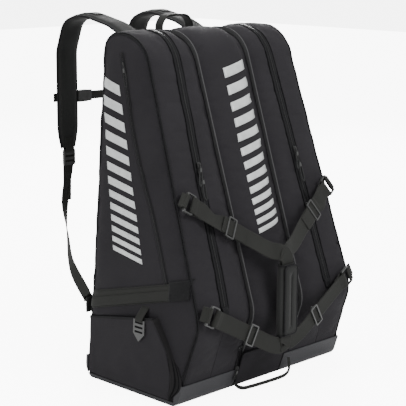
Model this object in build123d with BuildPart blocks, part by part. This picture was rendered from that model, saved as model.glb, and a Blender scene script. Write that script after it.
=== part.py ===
"""Racket tournament bag: three zipped compartments, backpack straps, cross handle, shoe pocket.

Millimetres, +Z up. The origin is the centre of the underside. The front, with the handle,
faces -Y. The back, with the shoulder straps, faces +Y. The left side faces -X.
"""
import os
from math import atan, cos, sin

from build123d import *

os.makedirs("parts", exist_ok=True)

# Outline of the bag seen from the side, as (y, z) corners and the radius of each corner
HEIGHT = 768
OUTLINE = [(-143, 0), (-207, 180), (-14, HEIGHT), (114, HEIGHT), (143, 0)]
OUTLINE_RADII = [25, 70, 90, 45, 30]
UPPER_SLOPE = 0.327
LOWER_SLOPE = 0.3556
WIDEST_Z = 180

# Width: both side panels lean inwards towards the top
HALF_WIDTH = 255
SIDE_LEAN = 0.0443
SEAM_X = 79
ZIP_INSET = 80
ZIP_TEETH = 3.4

FABRIC = 4
CLEARANCE = 0.4
HINGE_Z = 282
FOLD_GAP = 2
ZIP_END_Z = 203
ZIP_RISE = 2.8
DIVIDER = 3
MARGIN = 20

SIDES = [("left", -1), ("right", 1)]
LEAN_ANGLE = atan(SIDE_LEAN)
FRONT_FACE = (0, -1, UPPER_SLOPE)
LOW_FRONT_FACE = (0, -1, -LOWER_SLOPE)
FORWARD = (0, -1, 0)
BACKWARD = (0, 1, 0)
ZIP_X = HALF_WIDTH - ZIP_INSET

# Coated base: a shallow tray, notched under the shoe pocket and low at the sides
BASE_PLATE = 4
BASE_WALL = 2.5
BASE_GAP = 0.3
BAND_HEIGHT = 48
SIDE_NOTCH = (19, 274, 48)
SIDE_NOTCH_X = HALF_WIDTH + 7
SIDE_NOTCH_Z = 32
SHOE_NOTCH_Y = -160
BOARD_SIZE = (480, 216)
BOARD_THICKNESS = 3

# Sewn band on each side panel, as (y, height along the panel) corners
BAND_CORNERS = [(130, 157), (130, 197), (-166, 272), (-166, 234)]
BAND_THICKNESS = 2.4

# Side pockets with bellows: outline as (y, height along the panel) and how far they stand off
POCKET = [(131, 12), (131, 138), (-65, 176), (-85, 180), (-126, 119), (-138, 62), (-126, 12)]
POCKET_ROOM = [(128, 15), (128, 160), (-65, 200), (-83, 200), (-83, 177), (-123, 118), (-134, 62),
               (-123, 15)]
POCKET_REAR = 4.5
POCKET_FRONT = 24
POCKET_FRONT_Y = -150
POCKET_FOOT = 7
POCKET_MOUTH = 18
POCKET_MOUTH_Z = 180
POCKET_TOP_Z = 220
POCKET_PANEL = 2.5
POCKET_DEPTH = 40
POCKET_REACH = 200

# Ladder-style hook buckle over each side pocket
BUCKLE_Y = -46
BUCKLE_PLATE = [(-29, 170), (-29, 140), (-46, 123), (-63, 140), (-63, 170)]
BUCKLE_SLOTS = (164, 154, 144)
BUCKLE_SLOT_SIZE = (24, 4.5)
BUCKLE_LIFT = 19.5
BUCKLE_THICKNESS = 3
BUCKLE_TAB_TOP = (196, 2.2)
BUCKLE_TAB_LOW = (174, 20.5)
BUCKLE_TAB_WIDTH = 24
BUCKLE_TAB_THICKNESS = 1.6

# Shoe pocket flap on the lower front
FLAP_LEFT = -86
FLAP_RIGHT = 60
FLAP_LOW = 6
FLAP_HIGH = 86
FLAP_INNER = 0.6
FLAP_OUTER = 4.8
FLAP_MARGIN = 11
FLAP_OPENING_Z = 48
FLAP_OPENING_HEIGHT = 62
SHOE_SLIDER_X = -94
SHOE_SLIDER_Z = 52
SHOE_SLIDER_SIZE = (8, 13)
SHOE_SLIDER_LIFT = 3.2
SHOE_SLIDER_TOP = 6
LOOP_POINTS = [(-92, -154, 14), (-84, -176, 6), (24, -182, 6), (66, -175, 9), (74, -167, 40)]
LOOP_WIDTH = 9
LOOP_THICKNESS = 1.8
LOOP_OVERLAP = 1.6

# Handle: two webbings from ring to ring, gathered in one grip
WEBBING = 2.4
WEBBING_WIDTH = 36
BAR_RADIUS = 2.5
RING_DEPTH = 20
RING_LENGTH = 44
RING_ROUND = 3
TAB_EYE = 4.2
TAB_EYE_WALL = 1.4
TAB_WIDTH = WEBBING_WIDTH - 5
WEBBING_EYE = 6.2
WEBBING_EYE_WALL = 1.8
EYE_LAP = 1
RUN_OVERLAP = 2
GLIDE_FRAME = (24, 46)
GLIDE_WINDOW = (17, 40.4)
GLIDE_THICKNESS = 3
GLIDE_BAR = 4
GLIDE_BAR_DEPTH = 2.6
GLIDE_CHEEK = 2.8
GRIP_X = -8
GRIP_Y = -226
GRIP_LOW = 122
GRIP_HIGH = 279
GRIP_WIDTH = 50
GRIP_DEPTH = 21
GRIP_ROUND = 9
GRIP_BORE = (42, 11)
GRIP_BORE_ROUND = 3
GRIP_FLAP_WIDTH = 40
GRIP_FLAP_SHIFT = 3
GRIP_FLAP_THICKNESS = 3
GRIP_FLAP_GAP = 0.5
GRIP_FLAP_ROUND = 8
GRIP_FLAP_MARGIN = 2
UPPER_RINGS = {"left": (-205, -141, 421), "right": (212, -149, 404)}
UPPER_KNEES = {"left": (-50, -177, 322), "right": (80, -192, 335)}
LOWER_RINGS = {"left": (-210, -213, 197), "right": (208, -213, 203)}
LOWER_KNEES = {"left": (-45, -225.6, 106), "right": (45, -223.5, 112)}
UPPER_TAB_ENDS = {"left": (-231, -130, 438), "right": (236.5, -136.6, 415.4)}
LOWER_TAB_ENDS = {"left": (-242, -204, 213), "right": (240.5, -205, 222)}
RUN_Y = {"left": GRIP_Y - 2.5, "right": GRIP_Y + 2.5}
RUN_TOP = 306
RUN_LOW = 86
UPPER_GLIDES = {"left": 0.58, "right": 0.55}
LOWER_GLIDES = {"left": 0.6, "right": 0.66}

# Zip sliders and their cord pulls
SLIDER_LENGTH = 14
SLIDER_WIDTH = 9
SLIDER_HEIGHT = 4.4
SLIDER_LIFT = 3.2
SLIDER_ROUND = 2
SLIDER_Z = {"lower": 476, "upper": 494}
PULL_LENGTH = 48
PULL_WIDTH = 9
PULL_BORDER = 6
PULL_OPENING = 3.4
PULL_THICKNESS = 2.6
PULL_LIFT = 0.6
PULL_GAP = 1.6
UPPER_PULL_TURN = -20
UPPER_PULL_SHIFT = (17, -7)
UPPER_PULL_WIDTH = 7
UPPER_PULL_THICKNESS = 2.4

# Zip along each side panel, as (y, height along the panel) from its top to its low end
SIDE_ZIP_TOP = (40, 700)
SIDE_ZIP_LOW = (-108, 257)
SIDE_ZIP_LIFT = 2
SIDE_SLIDER_LENGTH = 13
SIDE_SLIDER_WIDTH = 8
SIDE_SLIDER_HEIGHT = 4
SIDE_PULL_LENGTH = 46
SIDE_PULL_SHIFT = 28
SIDE_PULL_LIFT = 0.8

# Shoulder straps
STRAP_X = 105
STRAP_WIDTH = 60
STRAP_THICKNESS = 13
STRAP_ROUND = 5
STRAP_POINTS = [(124, 735), (200, 768), (285, 786), (352, 772), (379, 700), (379, 470)]
STRAP_RADII = [80, 90, 45, 60]
LOCK_Y = STRAP_POINTS[-1][0]
LOCK_Z = 448
LOCK_SIZE = (34, 38)
LOCK_THICKNESS = 6
LOCK_SLOT = (26, 5)
LOCK_SLOT_PLACES = ((0, 9), (0, -3))
STRAP_WEB_WIDTH = 24
STRAP_WEB_THICKNESS = 2
STRAP_WEB_TOP = (STRAP_X, LOCK_Y - 3, LOCK_Z - 23)
STRAP_WEB_MIDDLE = (132, 366, 330)
STRAP_WEB_LOW = (205, 250, 224)
ANCHOR = (236, 160, 176)
ANCHOR_OUTLINE = [(-22, 22), (10, 14), (10, -34), (-4, -34)]
ANCHOR_BEHIND = 13
ANCHOR_THICKNESS = 5

# Padded back panel and haul loop
BACK_PAD_X = 118
BACK_PAD_LOW = 70
BACK_PAD_HIGH = 640
BACK_PAD_THICKNESS = 17
BACK_PAD_GAP = 0.5
HAUL_Y = 126
HAUL_POINTS = [(-46, 752), (-40, 790), (40, 790), (46, 752)]
HAUL_RADIUS = 26
HAUL_THICKNESS = 4.4
HAUL_WIDTH = 25

# Sternum strap: socket on the left strap, plug and webbing on the right one
STERNUM_Z = 590
SOCKET_LOW = -STRAP_X + STRAP_WIDTH / 2 + 1
SOCKET_LENGTH = 28
SOCKET_HIGH = SOCKET_LOW + SOCKET_LENGTH
SOCKET_X = (SOCKET_LOW + SOCKET_HIGH) / 2
SOCKET_SIZE = (SOCKET_LENGTH, 10, 28)
SOCKET_BORE = (24, 5, 21)
SOCKET_BORE_SHIFT = 4
PLUG_BODY = (12, 9, 26)
PLUG_BODY_SHIFT = 7
PLUG_PRONG = (20, 4, 5)
PLUG_PRONG_SHIFT = -8
PLUG_PRONG_Z = 7
STERNUM_WIDTH = 20
STERNUM_THICKNESS = 1.8
STERNUM_RISE_X = 46
STERNUM_OVER_Y = LOCK_Y + STRAP_THICKNESS / 2 + 3


def half_width(z):
    """Half of the bag's width at height z."""
    return HALF_WIDTH - SIDE_LEAN * z


def front_y(z):
    """Depth of the front surface at height z."""
    widest_y = OUTLINE[1][0]
    if z >= WIDEST_Z:
        return widest_y + UPPER_SLOPE * (z - WIDEST_Z)
    return widest_y + LOWER_SLOPE * (WIDEST_Z - z)


def save(builder, name):
    """Label a finished piece and write it."""
    builder.part.label = name
    export_step(builder.part, f"parts/{name}.step")


def side_prism(growth=0, mode=Mode.ADD):
    """The side outline, grown outwards by growth, through more than the bag's full width."""
    with BuildSketch(Plane.YZ) as profile:
        with BuildLine():
            FilletPolyline(*OUTLINE, radius=OUTLINE_RADII, close=True)
        make_face()
        if growth:
            offset(amount=growth)
    extrude(profile.sketch, amount=HALF_WIDTH + 10, both=True, mode=mode)


def front_view(points, mode):
    """A prism through the whole depth of the bag, from an outline of (x, z) points."""
    with BuildSketch(Plane.XZ) as view:
        Polygon(*points, align=None)
    extrude(view.sketch, amount=2 * HEIGHT, both=True, mode=mode)


def between(inner, outer, low=-MARGIN, high=HEIGHT + MARGIN, mode=Mode.INTERSECT):
    """Keep what lies between two leaning planes, each given by its x at the base and its lean."""
    points = [(inner[0] - inner[1] * z, z) for z in (low, high)]
    points += [(outer[0] - outer[1] * z, z) for z in (high, low)]
    front_view(points, mode)


def level_slice(low, high):
    """Keep what lies between two heights."""
    front_view([(-2 * HALF_WIDTH, low), (2 * HALF_WIDTH, low), (2 * HALF_WIDTH, high),
                (-2 * HALF_WIDTH, high)], Mode.INTERSECT)


def side_plane(side):
    """Plane of a side panel: local x runs along side * Y, local y up, z outwards."""
    normal = (side * cos(LEAN_ANGLE), 0, sin(LEAN_ANGLE))
    return Plane(origin=(side * HALF_WIDTH, 0, 0), x_dir=(0, side, 0), z_dir=normal)


def front_plane(x, z, along):
    """Plane on the upper front: local x points along the given way, z outwards."""
    normal = (0, -1, UPPER_SLOPE)
    return Plane(origin=(x, front_y(z), z), x_dir=along, z_dir=normal)


def run_plane(start, end, face, place=0.5):
    """Plane at a place along a straight run of webbing: local x along it, z out of its face."""
    start = Vector(*start)
    way = (Vector(*end) - start)
    along = way.normalized()
    face = Vector(*face)
    normal = face - along * face.dot(along)
    return Plane(origin=start + way * place, x_dir=along, z_dir=normal)


def flat_run(start, end, face, width, thickness, extra=0):
    """A straight flat run of webbing, centred on the line from start to end."""
    length = (Vector(*end) - Vector(*start)).length
    with BuildSketch(run_plane(start, end, face)) as strip:
        Rectangle(length + extra, width)
    extrude(strip.sketch, amount=thickness / 2, both=True)


def eye(centre, along, face, inner, wall, width, open_behind=False):
    """A sewn eye round a ring's bar: a short tube across the run, or only its front half."""
    plane = run_plane(centre, Vector(*centre) + along, face)
    with BuildSketch(Plane(origin=centre, x_dir=plane.x_dir, z_dir=plane.y_dir)) as tube:
        Circle(inner + wall)
        Circle(inner, mode=Mode.SUBTRACT)
        if open_behind:
            with Locations((-20, 0)):
                Rectangle(40, 40, mode=Mode.SUBTRACT)
    extrude(tube.sketch, amount=width / 2, both=True)


# ---------------------------------------------------------------- base
with BuildPart() as base_tray:
    side_prism(BASE_WALL)
    wall_x = HALF_WIDTH + BASE_WALL
    between((-wall_x, -SIDE_LEAN), (wall_x, SIDE_LEAN), 0, BAND_HEIGHT)
    with BuildPart(mode=Mode.PRIVATE) as base_hollow:
        side_prism(BASE_GAP)
        room_x = HALF_WIDTH + BASE_GAP
        between((-room_x, -SIDE_LEAN), (room_x, SIDE_LEAN), BASE_PLATE, HEIGHT)
    add(base_hollow.part, mode=Mode.SUBTRACT)
    with Locations((-SIDE_NOTCH_X, 0, SIDE_NOTCH_Z), (SIDE_NOTCH_X, 0, SIDE_NOTCH_Z)):
        Box(*SIDE_NOTCH, mode=Mode.SUBTRACT)
    with Locations(((FLAP_LEFT + FLAP_RIGHT) / 2, SHOE_NOTCH_Y, BAND_HEIGHT / 2 + BASE_PLATE)):
        Box(FLAP_RIGHT - FLAP_LEFT + 6, 80, BAND_HEIGHT, mode=Mode.SUBTRACT)
save(base_tray, "base_tray")

with BuildPart() as base_board:
    with BuildSketch(Plane.XY.offset(BASE_PLATE + BASE_GAP)):
        RectangleRounded(*BOARD_SIZE, 12)
    extrude(amount=BOARD_THICKNESS)
save(base_board, "base_board")


def open_base():
    """Cut away what would stand in the base plate."""
    Box(3 * HALF_WIDTH, 3 * HALF_WIDTH, 2 * (BASE_PLATE + CLEARANCE), mode=Mode.SUBTRACT)


def skin(growth=0):
    """The closed fabric skin over the full width, one fabric thick, open at the base."""
    side_prism(growth)
    side_prism(growth - FABRIC, mode=Mode.SUBTRACT)
    open_base()


# ---------------------------------------------------------------- centre compartment
with BuildPart() as centre_shell:
    skin()
    between((-SEAM_X + 0.5, 0), (SEAM_X - 0.5, 0))
    with Locations(((FLAP_LEFT + FLAP_RIGHT) / 2 + 2, SHOE_NOTCH_Y, FLAP_OPENING_Z)):
        Box(FLAP_RIGHT - FLAP_LEFT - 2 * FLAP_MARGIN, 90, FLAP_OPENING_HEIGHT, mode=Mode.SUBTRACT)
save(centre_shell, "centre_shell")

for name, side in SIDES:
    with BuildPart() as divider:
        side_prism(-FABRIC - 0.6)
        seam_x = side * SEAM_X
        between((seam_x - DIVIDER / 2, 0), (seam_x + DIVIDER / 2, 0), BASE_PLATE + 4, HEIGHT)
    save(divider, f"{name}_divider")

    with BuildPart() as inner_gusset:
        skin()
        between((side * (SEAM_X + 0.5), 0), (side * (ZIP_X - CLEARANCE), side * SIDE_LEAN))
    save(inner_gusset, f"{name}_inner_gusset")

    # The outer half of the compartment is one formed shell, split at the level fold line
    with BuildPart() as outer_half:
        side_prism()
        between((side * (ZIP_X + CLEARANCE), side * SIDE_LEAN), (side * HALF_WIDTH, side * SIDE_LEAN))
        with BuildPart(mode=Mode.PRIVATE) as room:
            side_prism(-FABRIC)
            between((0, 0), (side * (HALF_WIDTH - FABRIC), side * SIDE_LEAN))
        add(room.part, mode=Mode.SUBTRACT)
        open_base()

    with BuildPart() as cover:
        add(outer_half.part)
        level_slice(HINGE_Z + FOLD_GAP / 2, HEIGHT + MARGIN)
    save(cover, f"{name}_cover")

    with BuildPart() as lower_shell:
        add(outer_half.part)
        level_slice(-MARGIN, HINGE_Z - FOLD_GAP / 2)
    save(lower_shell, f"{name}_lower_shell")

    # Zip teeth run from the front, over the top, to the same height on the back
    with BuildPart() as main_zip:
        side_prism(ZIP_RISE)
        side_prism(BASE_GAP, mode=Mode.SUBTRACT)
        teeth_edge = (side * (ZIP_X - ZIP_TEETH), side * SIDE_LEAN)
        between(teeth_edge, (side * ZIP_X, side * SIDE_LEAN), ZIP_END_Z + 2, HEIGHT + MARGIN)
    save(main_zip, f"{name}_main_zip")

    # Sewn band with a hook-and-loop end, rising towards the front
    with BuildPart() as band:
        with BuildSketch(side_plane(side).offset(CLEARANCE)):
            Polygon(*[(side * y, z) for y, z in BAND_CORNERS], align=None)
        extrude(amount=BAND_THICKNESS - CLEARANCE)
    save(band, f"{name}_side_band")

# ---------------------------------------------------------------- side pockets with bellows

def pocket_lean(side, thinner):
    """The pocket stands off the side panel more towards the front and towards its mouth."""
    up = (-side * sin(LEAN_ANGLE), 0, cos(LEAN_ANGLE))
    rear = POCKET[0][0]
    front = POCKET_FRONT_Y
    top = Plane(origin=(side * HALF_WIDTH, 0, 0), x_dir=(0, side, 0), z_dir=up)
    with BuildSketch(top) as wedge:
        Polygon((side * rear, -CLEARANCE), (side * front, -CLEARANCE),
                (side * front, thinner - POCKET_FRONT), (side * rear, thinner - POCKET_REAR),
                align=None)
    extrude(wedge.sketch, amount=HEIGHT, both=True, mode=Mode.INTERSECT)
    foot = HALF_WIDTH + POCKET_FOOT - thinner
    mouth = HALF_WIDTH + POCKET_MOUTH - thinner
    inside = side * POCKET_REACH
    front_view([(inside, 0), (side * foot, 0), (side * mouth, POCKET_MOUTH_Z),
                (side * mouth, POCKET_TOP_Z), (inside, POCKET_TOP_Z)], Mode.INTERSECT)


for name, side in SIDES:
    with BuildPart() as pocket:
        with BuildSketch(side_plane(side)):
            Polygon(*[(side * y, z) for y, z in POCKET], align=None)
        extrude(amount=POCKET_DEPTH)
        pocket_lean(side, 0)
        with BuildPart(mode=Mode.PRIVATE) as pocket_room:
            with BuildSketch(side_plane(side)):
                Polygon(*[(side * y, z) for y, z in POCKET_ROOM], align=None)
            extrude(amount=POCKET_DEPTH)
            pocket_lean(side, POCKET_PANEL)
        add(pocket_room.part, mode=Mode.SUBTRACT)
    save(pocket, f"{name}_side_pocket")

    # Ladder-style hook buckle hanging over the pocket from a short webbing tab
    plane = side_plane(side)
    with BuildPart() as buckle_tab:
        start = plane.from_local_coords(Vector(side * BUCKLE_Y, *BUCKLE_TAB_TOP))
        end = plane.from_local_coords(Vector(side * BUCKLE_Y, *BUCKLE_TAB_LOW))
        flat_run(start, end, (side, 0, 0.5), BUCKLE_TAB_WIDTH, BUCKLE_TAB_THICKNESS)
    save(buckle_tab, f"{name}_buckle_tab")

    with BuildPart() as hook_buckle:
        with BuildSketch(plane.offset(BUCKLE_LIFT)):
            Polygon(*[(side * y, z) for y, z in BUCKLE_PLATE], align=None)
            with Locations(*[(side * BUCKLE_Y, z) for z in BUCKLE_SLOTS]):
                Rectangle(*BUCKLE_SLOT_SIZE, mode=Mode.SUBTRACT)
        extrude(amount=BUCKLE_THICKNESS)
    save(hook_buckle, f"{name}_hook_buckle")

# ---------------------------------------------------------------- shoe pocket and its loop
with BuildPart() as shoe_flap:
    side_prism(FLAP_OUTER)
    side_prism(FLAP_INNER, mode=Mode.SUBTRACT)
    front_view([(FLAP_LEFT, FLAP_LOW), (FLAP_RIGHT, FLAP_LOW), (FLAP_RIGHT, FLAP_HIGH),
                (FLAP_LEFT, FLAP_HIGH)], Mode.INTERSECT)
    with Locations((0, 200, 50)):
        Box(400, 500, 200, mode=Mode.SUBTRACT)
save(shoe_flap, "shoe_flap")

with BuildPart() as bottom_loop:
    for start, end in zip(LOOP_POINTS, LOOP_POINTS[1:]):
        flat_run(start, end, FORWARD, LOOP_WIDTH, LOOP_THICKNESS, extra=LOOP_OVERLAP)
save(bottom_loop, "bottom_loop")

with BuildPart() as shoe_slider:
    shoe_point = (SHOE_SLIDER_X, front_y(SHOE_SLIDER_Z), SHOE_SLIDER_Z)
    shoe_plane = Plane(origin=shoe_point, x_dir=(1, 0, 0), z_dir=LOW_FRONT_FACE)
    with BuildSketch(shoe_plane.offset(SHOE_SLIDER_LIFT)):
        RectangleRounded(*SHOE_SLIDER_SIZE, 1.5)
    extrude(amount=SHOE_SLIDER_TOP - SHOE_SLIDER_LIFT)
save(shoe_slider, "shoe_zip_slider")

# ---------------------------------------------------------------- rings, webbings, glides, grip


def build_ring(bar, along, face):
    """A moulded rectangular ring: its strap bar at bar, its tab bar behind it."""
    plane = run_plane(bar, Vector(*bar) - along * RING_DEPTH, face)
    with BuildSketch(plane.offset(-BAR_RADIUS)) as frame:
        RectangleRounded(RING_DEPTH + 2 * BAR_RADIUS, RING_LENGTH, RING_ROUND)
        Rectangle(RING_DEPTH - 2 * BAR_RADIUS, RING_LENGTH - 2 * BAR_RADIUS, mode=Mode.SUBTRACT)
    extrude(frame.sketch, amount=2 * BAR_RADIUS)


def build_tab(bar, along, face, tab_end):
    """The short tab that ties a ring to the outer edge."""
    tab_bar = Vector(*bar) - along * RING_DEPTH
    eye(tab_bar, along, face, TAB_EYE, TAB_EYE_WALL, WEBBING_WIDTH)
    way = (Vector(*tab_end) - tab_bar).normalized()
    flat_run(tab_bar + way * (TAB_EYE + EYE_LAP), tab_end, face, TAB_WIDTH, WEBBING)


def build_glide(start, end, face, place):
    """A tri-glide: end bars over the webbing, the middle bar under it."""
    plane = run_plane(start, end, face, place)
    over = WEBBING / 2 + CLEARANCE
    with BuildSketch(plane.offset(over)) as frame:
        RectangleRounded(*GLIDE_FRAME, RING_ROUND)
        Rectangle(*GLIDE_WINDOW, mode=Mode.SUBTRACT)
    extrude(frame.sketch, amount=GLIDE_THICKNESS)
    under = plane.offset(-over - GLIDE_BAR_DEPTH)
    with BuildSketch(under) as middle_bar:
        Rectangle(GLIDE_BAR, GLIDE_FRAME[1])
    extrude(middle_bar.sketch, amount=GLIDE_BAR_DEPTH)
    cheek_place = (GLIDE_FRAME[1] - GLIDE_CHEEK) / 2
    with BuildSketch(under) as cheeks:
        with Locations((0, cheek_place), (0, -cheek_place)):
            Rectangle(GLIDE_BAR, GLIDE_CHEEK)
    extrude(cheeks.sketch, amount=GLIDE_BAR_DEPTH + 2 * over + GLIDE_THICKNESS)


lower_tab_parts = {}
for name, side in SIDES:
    upper_bar = Vector(*UPPER_RINGS[name])
    upper_knee = Vector(*UPPER_KNEES[name])
    lower_bar = Vector(*LOWER_RINGS[name])
    lower_knee = Vector(*LOWER_KNEES[name])
    upper_way = (upper_knee - upper_bar).normalized()
    lower_way = (lower_knee - lower_bar).normalized()

    with BuildPart() as ring:
        build_ring(UPPER_RINGS[name], upper_way, FRONT_FACE)
    save(ring, f"{name}_upper_ring")
    with BuildPart() as ring:
        build_ring(LOWER_RINGS[name], lower_way, FORWARD)
    save(ring, f"{name}_lower_ring")

    with BuildPart() as tab:
        build_tab(UPPER_RINGS[name], upper_way, FRONT_FACE, UPPER_TAB_ENDS[name])
    save(tab, f"{name}_upper_ring_tab")
    with BuildPart() as tab:
        build_tab(LOWER_RINGS[name], lower_way, FORWARD, LOWER_TAB_ENDS[name])
    lower_tab_parts[name] = tab.part

    run_top = (GRIP_X, RUN_Y[name], RUN_TOP)
    run_low = (GRIP_X, RUN_Y[name], RUN_LOW)
    upper_start = upper_bar + upper_way * (WEBBING_EYE + EYE_LAP)
    lower_end = lower_bar + lower_way * (WEBBING_EYE + EYE_LAP)
    with BuildPart() as webbing:
        eye(upper_bar, upper_way, FRONT_FACE, WEBBING_EYE, WEBBING_EYE_WALL, WEBBING_WIDTH,
            open_behind=True)
        for start, end in ((upper_start, upper_knee), (upper_knee, run_top)):
            flat_run(start, end, FRONT_FACE, WEBBING_WIDTH, WEBBING, RUN_OVERLAP)
        for start, end in ((run_top, run_low), (run_low, lower_knee), (lower_knee, lower_end)):
            flat_run(start, end, FORWARD, WEBBING_WIDTH, WEBBING, RUN_OVERLAP)
        eye(lower_bar, lower_way, FORWARD, WEBBING_EYE, WEBBING_EYE_WALL, WEBBING_WIDTH)
    save(webbing, f"{name}_handle_webbing")

    with BuildPart() as glide:
        build_glide(upper_bar, upper_knee, FRONT_FACE, UPPER_GLIDES[name])
    save(glide, f"{name}_upper_glide")
    with BuildPart() as glide:
        build_glide(lower_bar, lower_knee, FORWARD, LOWER_GLIDES[name])
    save(glide, f"{name}_lower_glide")

with BuildPart() as lower_ring_tabs:
    for tab_part in lower_tab_parts.values():
        add(tab_part)
save(lower_ring_tabs, "lower_ring_tabs")

GRIP_PLANE = Plane(origin=(GRIP_X, GRIP_Y, GRIP_LOW), x_dir=(1, 0, 0), z_dir=(0, 0, 1))
with BuildPart() as handle_grip:
    with BuildSketch(GRIP_PLANE):
        RectangleRounded(GRIP_WIDTH, GRIP_DEPTH, GRIP_ROUND)
        RectangleRounded(*GRIP_BORE, GRIP_BORE_ROUND, mode=Mode.SUBTRACT)
    extrude(amount=GRIP_HIGH - GRIP_LOW)
save(handle_grip, "handle_grip")

with BuildPart() as grip_flap:
    flap_centre = (GRIP_X + GRIP_FLAP_SHIFT, GRIP_Y - GRIP_DEPTH / 2 - GRIP_FLAP_GAP,
                   (GRIP_LOW + GRIP_HIGH) / 2)
    with BuildSketch(Plane(origin=flap_centre, x_dir=(1, 0, 0), z_dir=FORWARD)):
        RectangleRounded(GRIP_FLAP_WIDTH, GRIP_HIGH - GRIP_LOW - 2 * GRIP_FLAP_MARGIN,
                         GRIP_FLAP_ROUND)
    extrude(amount=GRIP_FLAP_THICKNESS)
save(grip_flap, "grip_flap")

# ---------------------------------------------------------------- zip sliders


def slider_plane(side, z):
    """Plane on a main zip at height z: local x points down along the zip."""
    down = (side * SIDE_LEAN, -UPPER_SLOPE, -1)
    return front_plane(side * (ZIP_X - SIDE_LEAN * z), z, down)


for name, side in SIDES:
    low_plane = slider_plane(side, SLIDER_Z["lower"]).offset(SLIDER_LIFT)
    with BuildPart() as slider:
        with BuildSketch(low_plane):
            RectangleRounded(SLIDER_LENGTH, SLIDER_WIDTH, SLIDER_ROUND)
        extrude(amount=SLIDER_HEIGHT)
    save(slider, f"{name}_lower_slider")

    with BuildPart() as pull:
        with BuildSketch(low_plane.offset(PULL_LIFT)):
            with Locations((SLIDER_LENGTH / 2 + PULL_LENGTH / 2 + PULL_GAP, 0)):
                SlotOverall(PULL_LENGTH, PULL_WIDTH)
                SlotOverall(PULL_LENGTH - PULL_BORDER, PULL_OPENING, mode=Mode.SUBTRACT)
        extrude(amount=PULL_THICKNESS)
    save(pull, f"{name}_lower_pull")

    with BuildPart() as slider:
        high_plane = slider_plane(side, SLIDER_Z["upper"]).offset(SLIDER_LIFT)
        with BuildSketch(high_plane):
            RectangleRounded(SLIDER_LENGTH, SLIDER_WIDTH, SLIDER_ROUND)
        extrude(amount=SLIDER_HEIGHT)
        with BuildSketch(high_plane.offset(SLIDER_HEIGHT)):
            with Locations(UPPER_PULL_SHIFT):
                with Locations(Rotation(0, 0, UPPER_PULL_TURN)):
                    SlotOverall(PULL_LENGTH, UPPER_PULL_WIDTH)
        extrude(amount=UPPER_PULL_THICKNESS)
    save(slider, f"{name}_upper_slider")

    # Slider of the zip along the side panel
    panel = side_plane(side)
    zip_top = panel.from_local_coords(Vector(side * SIDE_ZIP_TOP[0], SIDE_ZIP_TOP[1], SIDE_ZIP_LIFT))
    zip_low = panel.from_local_coords(Vector(side * SIDE_ZIP_LOW[0], SIDE_ZIP_LOW[1], SIDE_ZIP_LIFT))
    zip_plane = Plane(origin=zip_top, x_dir=(zip_low - zip_top), z_dir=panel.z_dir)
    with BuildPart() as slider:
        with BuildSketch(zip_plane):
            RectangleRounded(SIDE_SLIDER_LENGTH, SIDE_SLIDER_WIDTH, SLIDER_ROUND)
        extrude(amount=SIDE_SLIDER_HEIGHT)
        with BuildSketch(zip_plane.offset(SIDE_PULL_LIFT)):
            with Locations((SIDE_PULL_SHIFT, 0)):
                SlotOverall(SIDE_PULL_LENGTH, SIDE_SLIDER_WIDTH)
        extrude(amount=UPPER_PULL_THICKNESS)
    save(slider, f"{name}_side_slider")

# ---------------------------------------------------------------- back pad and carrying straps
with BuildPart() as back_pad:
    side_prism(BACK_PAD_THICKNESS)
    side_prism(BACK_PAD_GAP, mode=Mode.SUBTRACT)
    front_view([(-BACK_PAD_X, BACK_PAD_LOW), (BACK_PAD_X, BACK_PAD_LOW),
                (BACK_PAD_X, BACK_PAD_HIGH), (-BACK_PAD_X, BACK_PAD_HIGH)], Mode.INTERSECT)
    with Locations((0, -HEIGHT / 2, HEIGHT / 2)):
        Box(2 * HALF_WIDTH, HEIGHT + 2 * 100, 2 * HEIGHT, mode=Mode.SUBTRACT)
save(back_pad, "back_pad")

for name, side in SIDES:
    strap_x = side * STRAP_X
    with BuildPart() as shoulder_strap:
        with BuildLine(Plane.YZ.offset(strap_x)) as strap_line:
            FilletPolyline(*STRAP_POINTS, radius=STRAP_RADII)
        start_plane = Plane(origin=strap_line.line @ 0, x_dir=(1, 0, 0), z_dir=strap_line.line % 0)
        with BuildSketch(start_plane):
            RectangleRounded(STRAP_WIDTH, STRAP_THICKNESS, STRAP_ROUND)
        sweep(path=strap_line.line)
    save(shoulder_strap, f"{name}_shoulder_strap")

    stops = [(side * x, y, z) for x, y, z in (STRAP_WEB_TOP, STRAP_WEB_MIDDLE, STRAP_WEB_LOW, ANCHOR)]
    with BuildPart() as strap_webbing:
        for start, end, rise in zip(stops, stops[1:], (0.3, 0.6, 0.6)):
            flat_run(start, end, (0, 1, rise), STRAP_WEB_WIDTH, STRAP_WEB_THICKNESS, 1)
    save(strap_webbing, f"{name}_strap_webbing")

with BuildPart() as ladder_locks:
    for name, side in SIDES:
        lock_plane = Plane(origin=(side * STRAP_X, LOCK_Y - LOCK_THICKNESS, LOCK_Z), x_dir=(1, 0, 0),
                           z_dir=BACKWARD)
        with BuildSketch(lock_plane):
            RectangleRounded(*LOCK_SIZE, 4)
            with Locations(*LOCK_SLOT_PLACES):
                Rectangle(*LOCK_SLOT, mode=Mode.SUBTRACT)
        extrude(amount=LOCK_THICKNESS)
save(ladder_locks, "strap_ladder_locks")

with BuildPart() as anchor_tabs:
    for name, side in SIDES:
        anchor = Vector(side * ANCHOR[0], ANCHOR[1] - ANCHOR_BEHIND, ANCHOR[2])
        tab_plane = Plane(origin=anchor, x_dir=(side, 0, 0), z_dir=BACKWARD)
        with BuildSketch(tab_plane):
            up = tab_plane.y_dir.Z
            Polygon(*[(x, up * z) for x, z in ANCHOR_OUTLINE], align=None)
        extrude(amount=ANCHOR_THICKNESS)
save(anchor_tabs, "strap_anchor_tabs")

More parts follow.
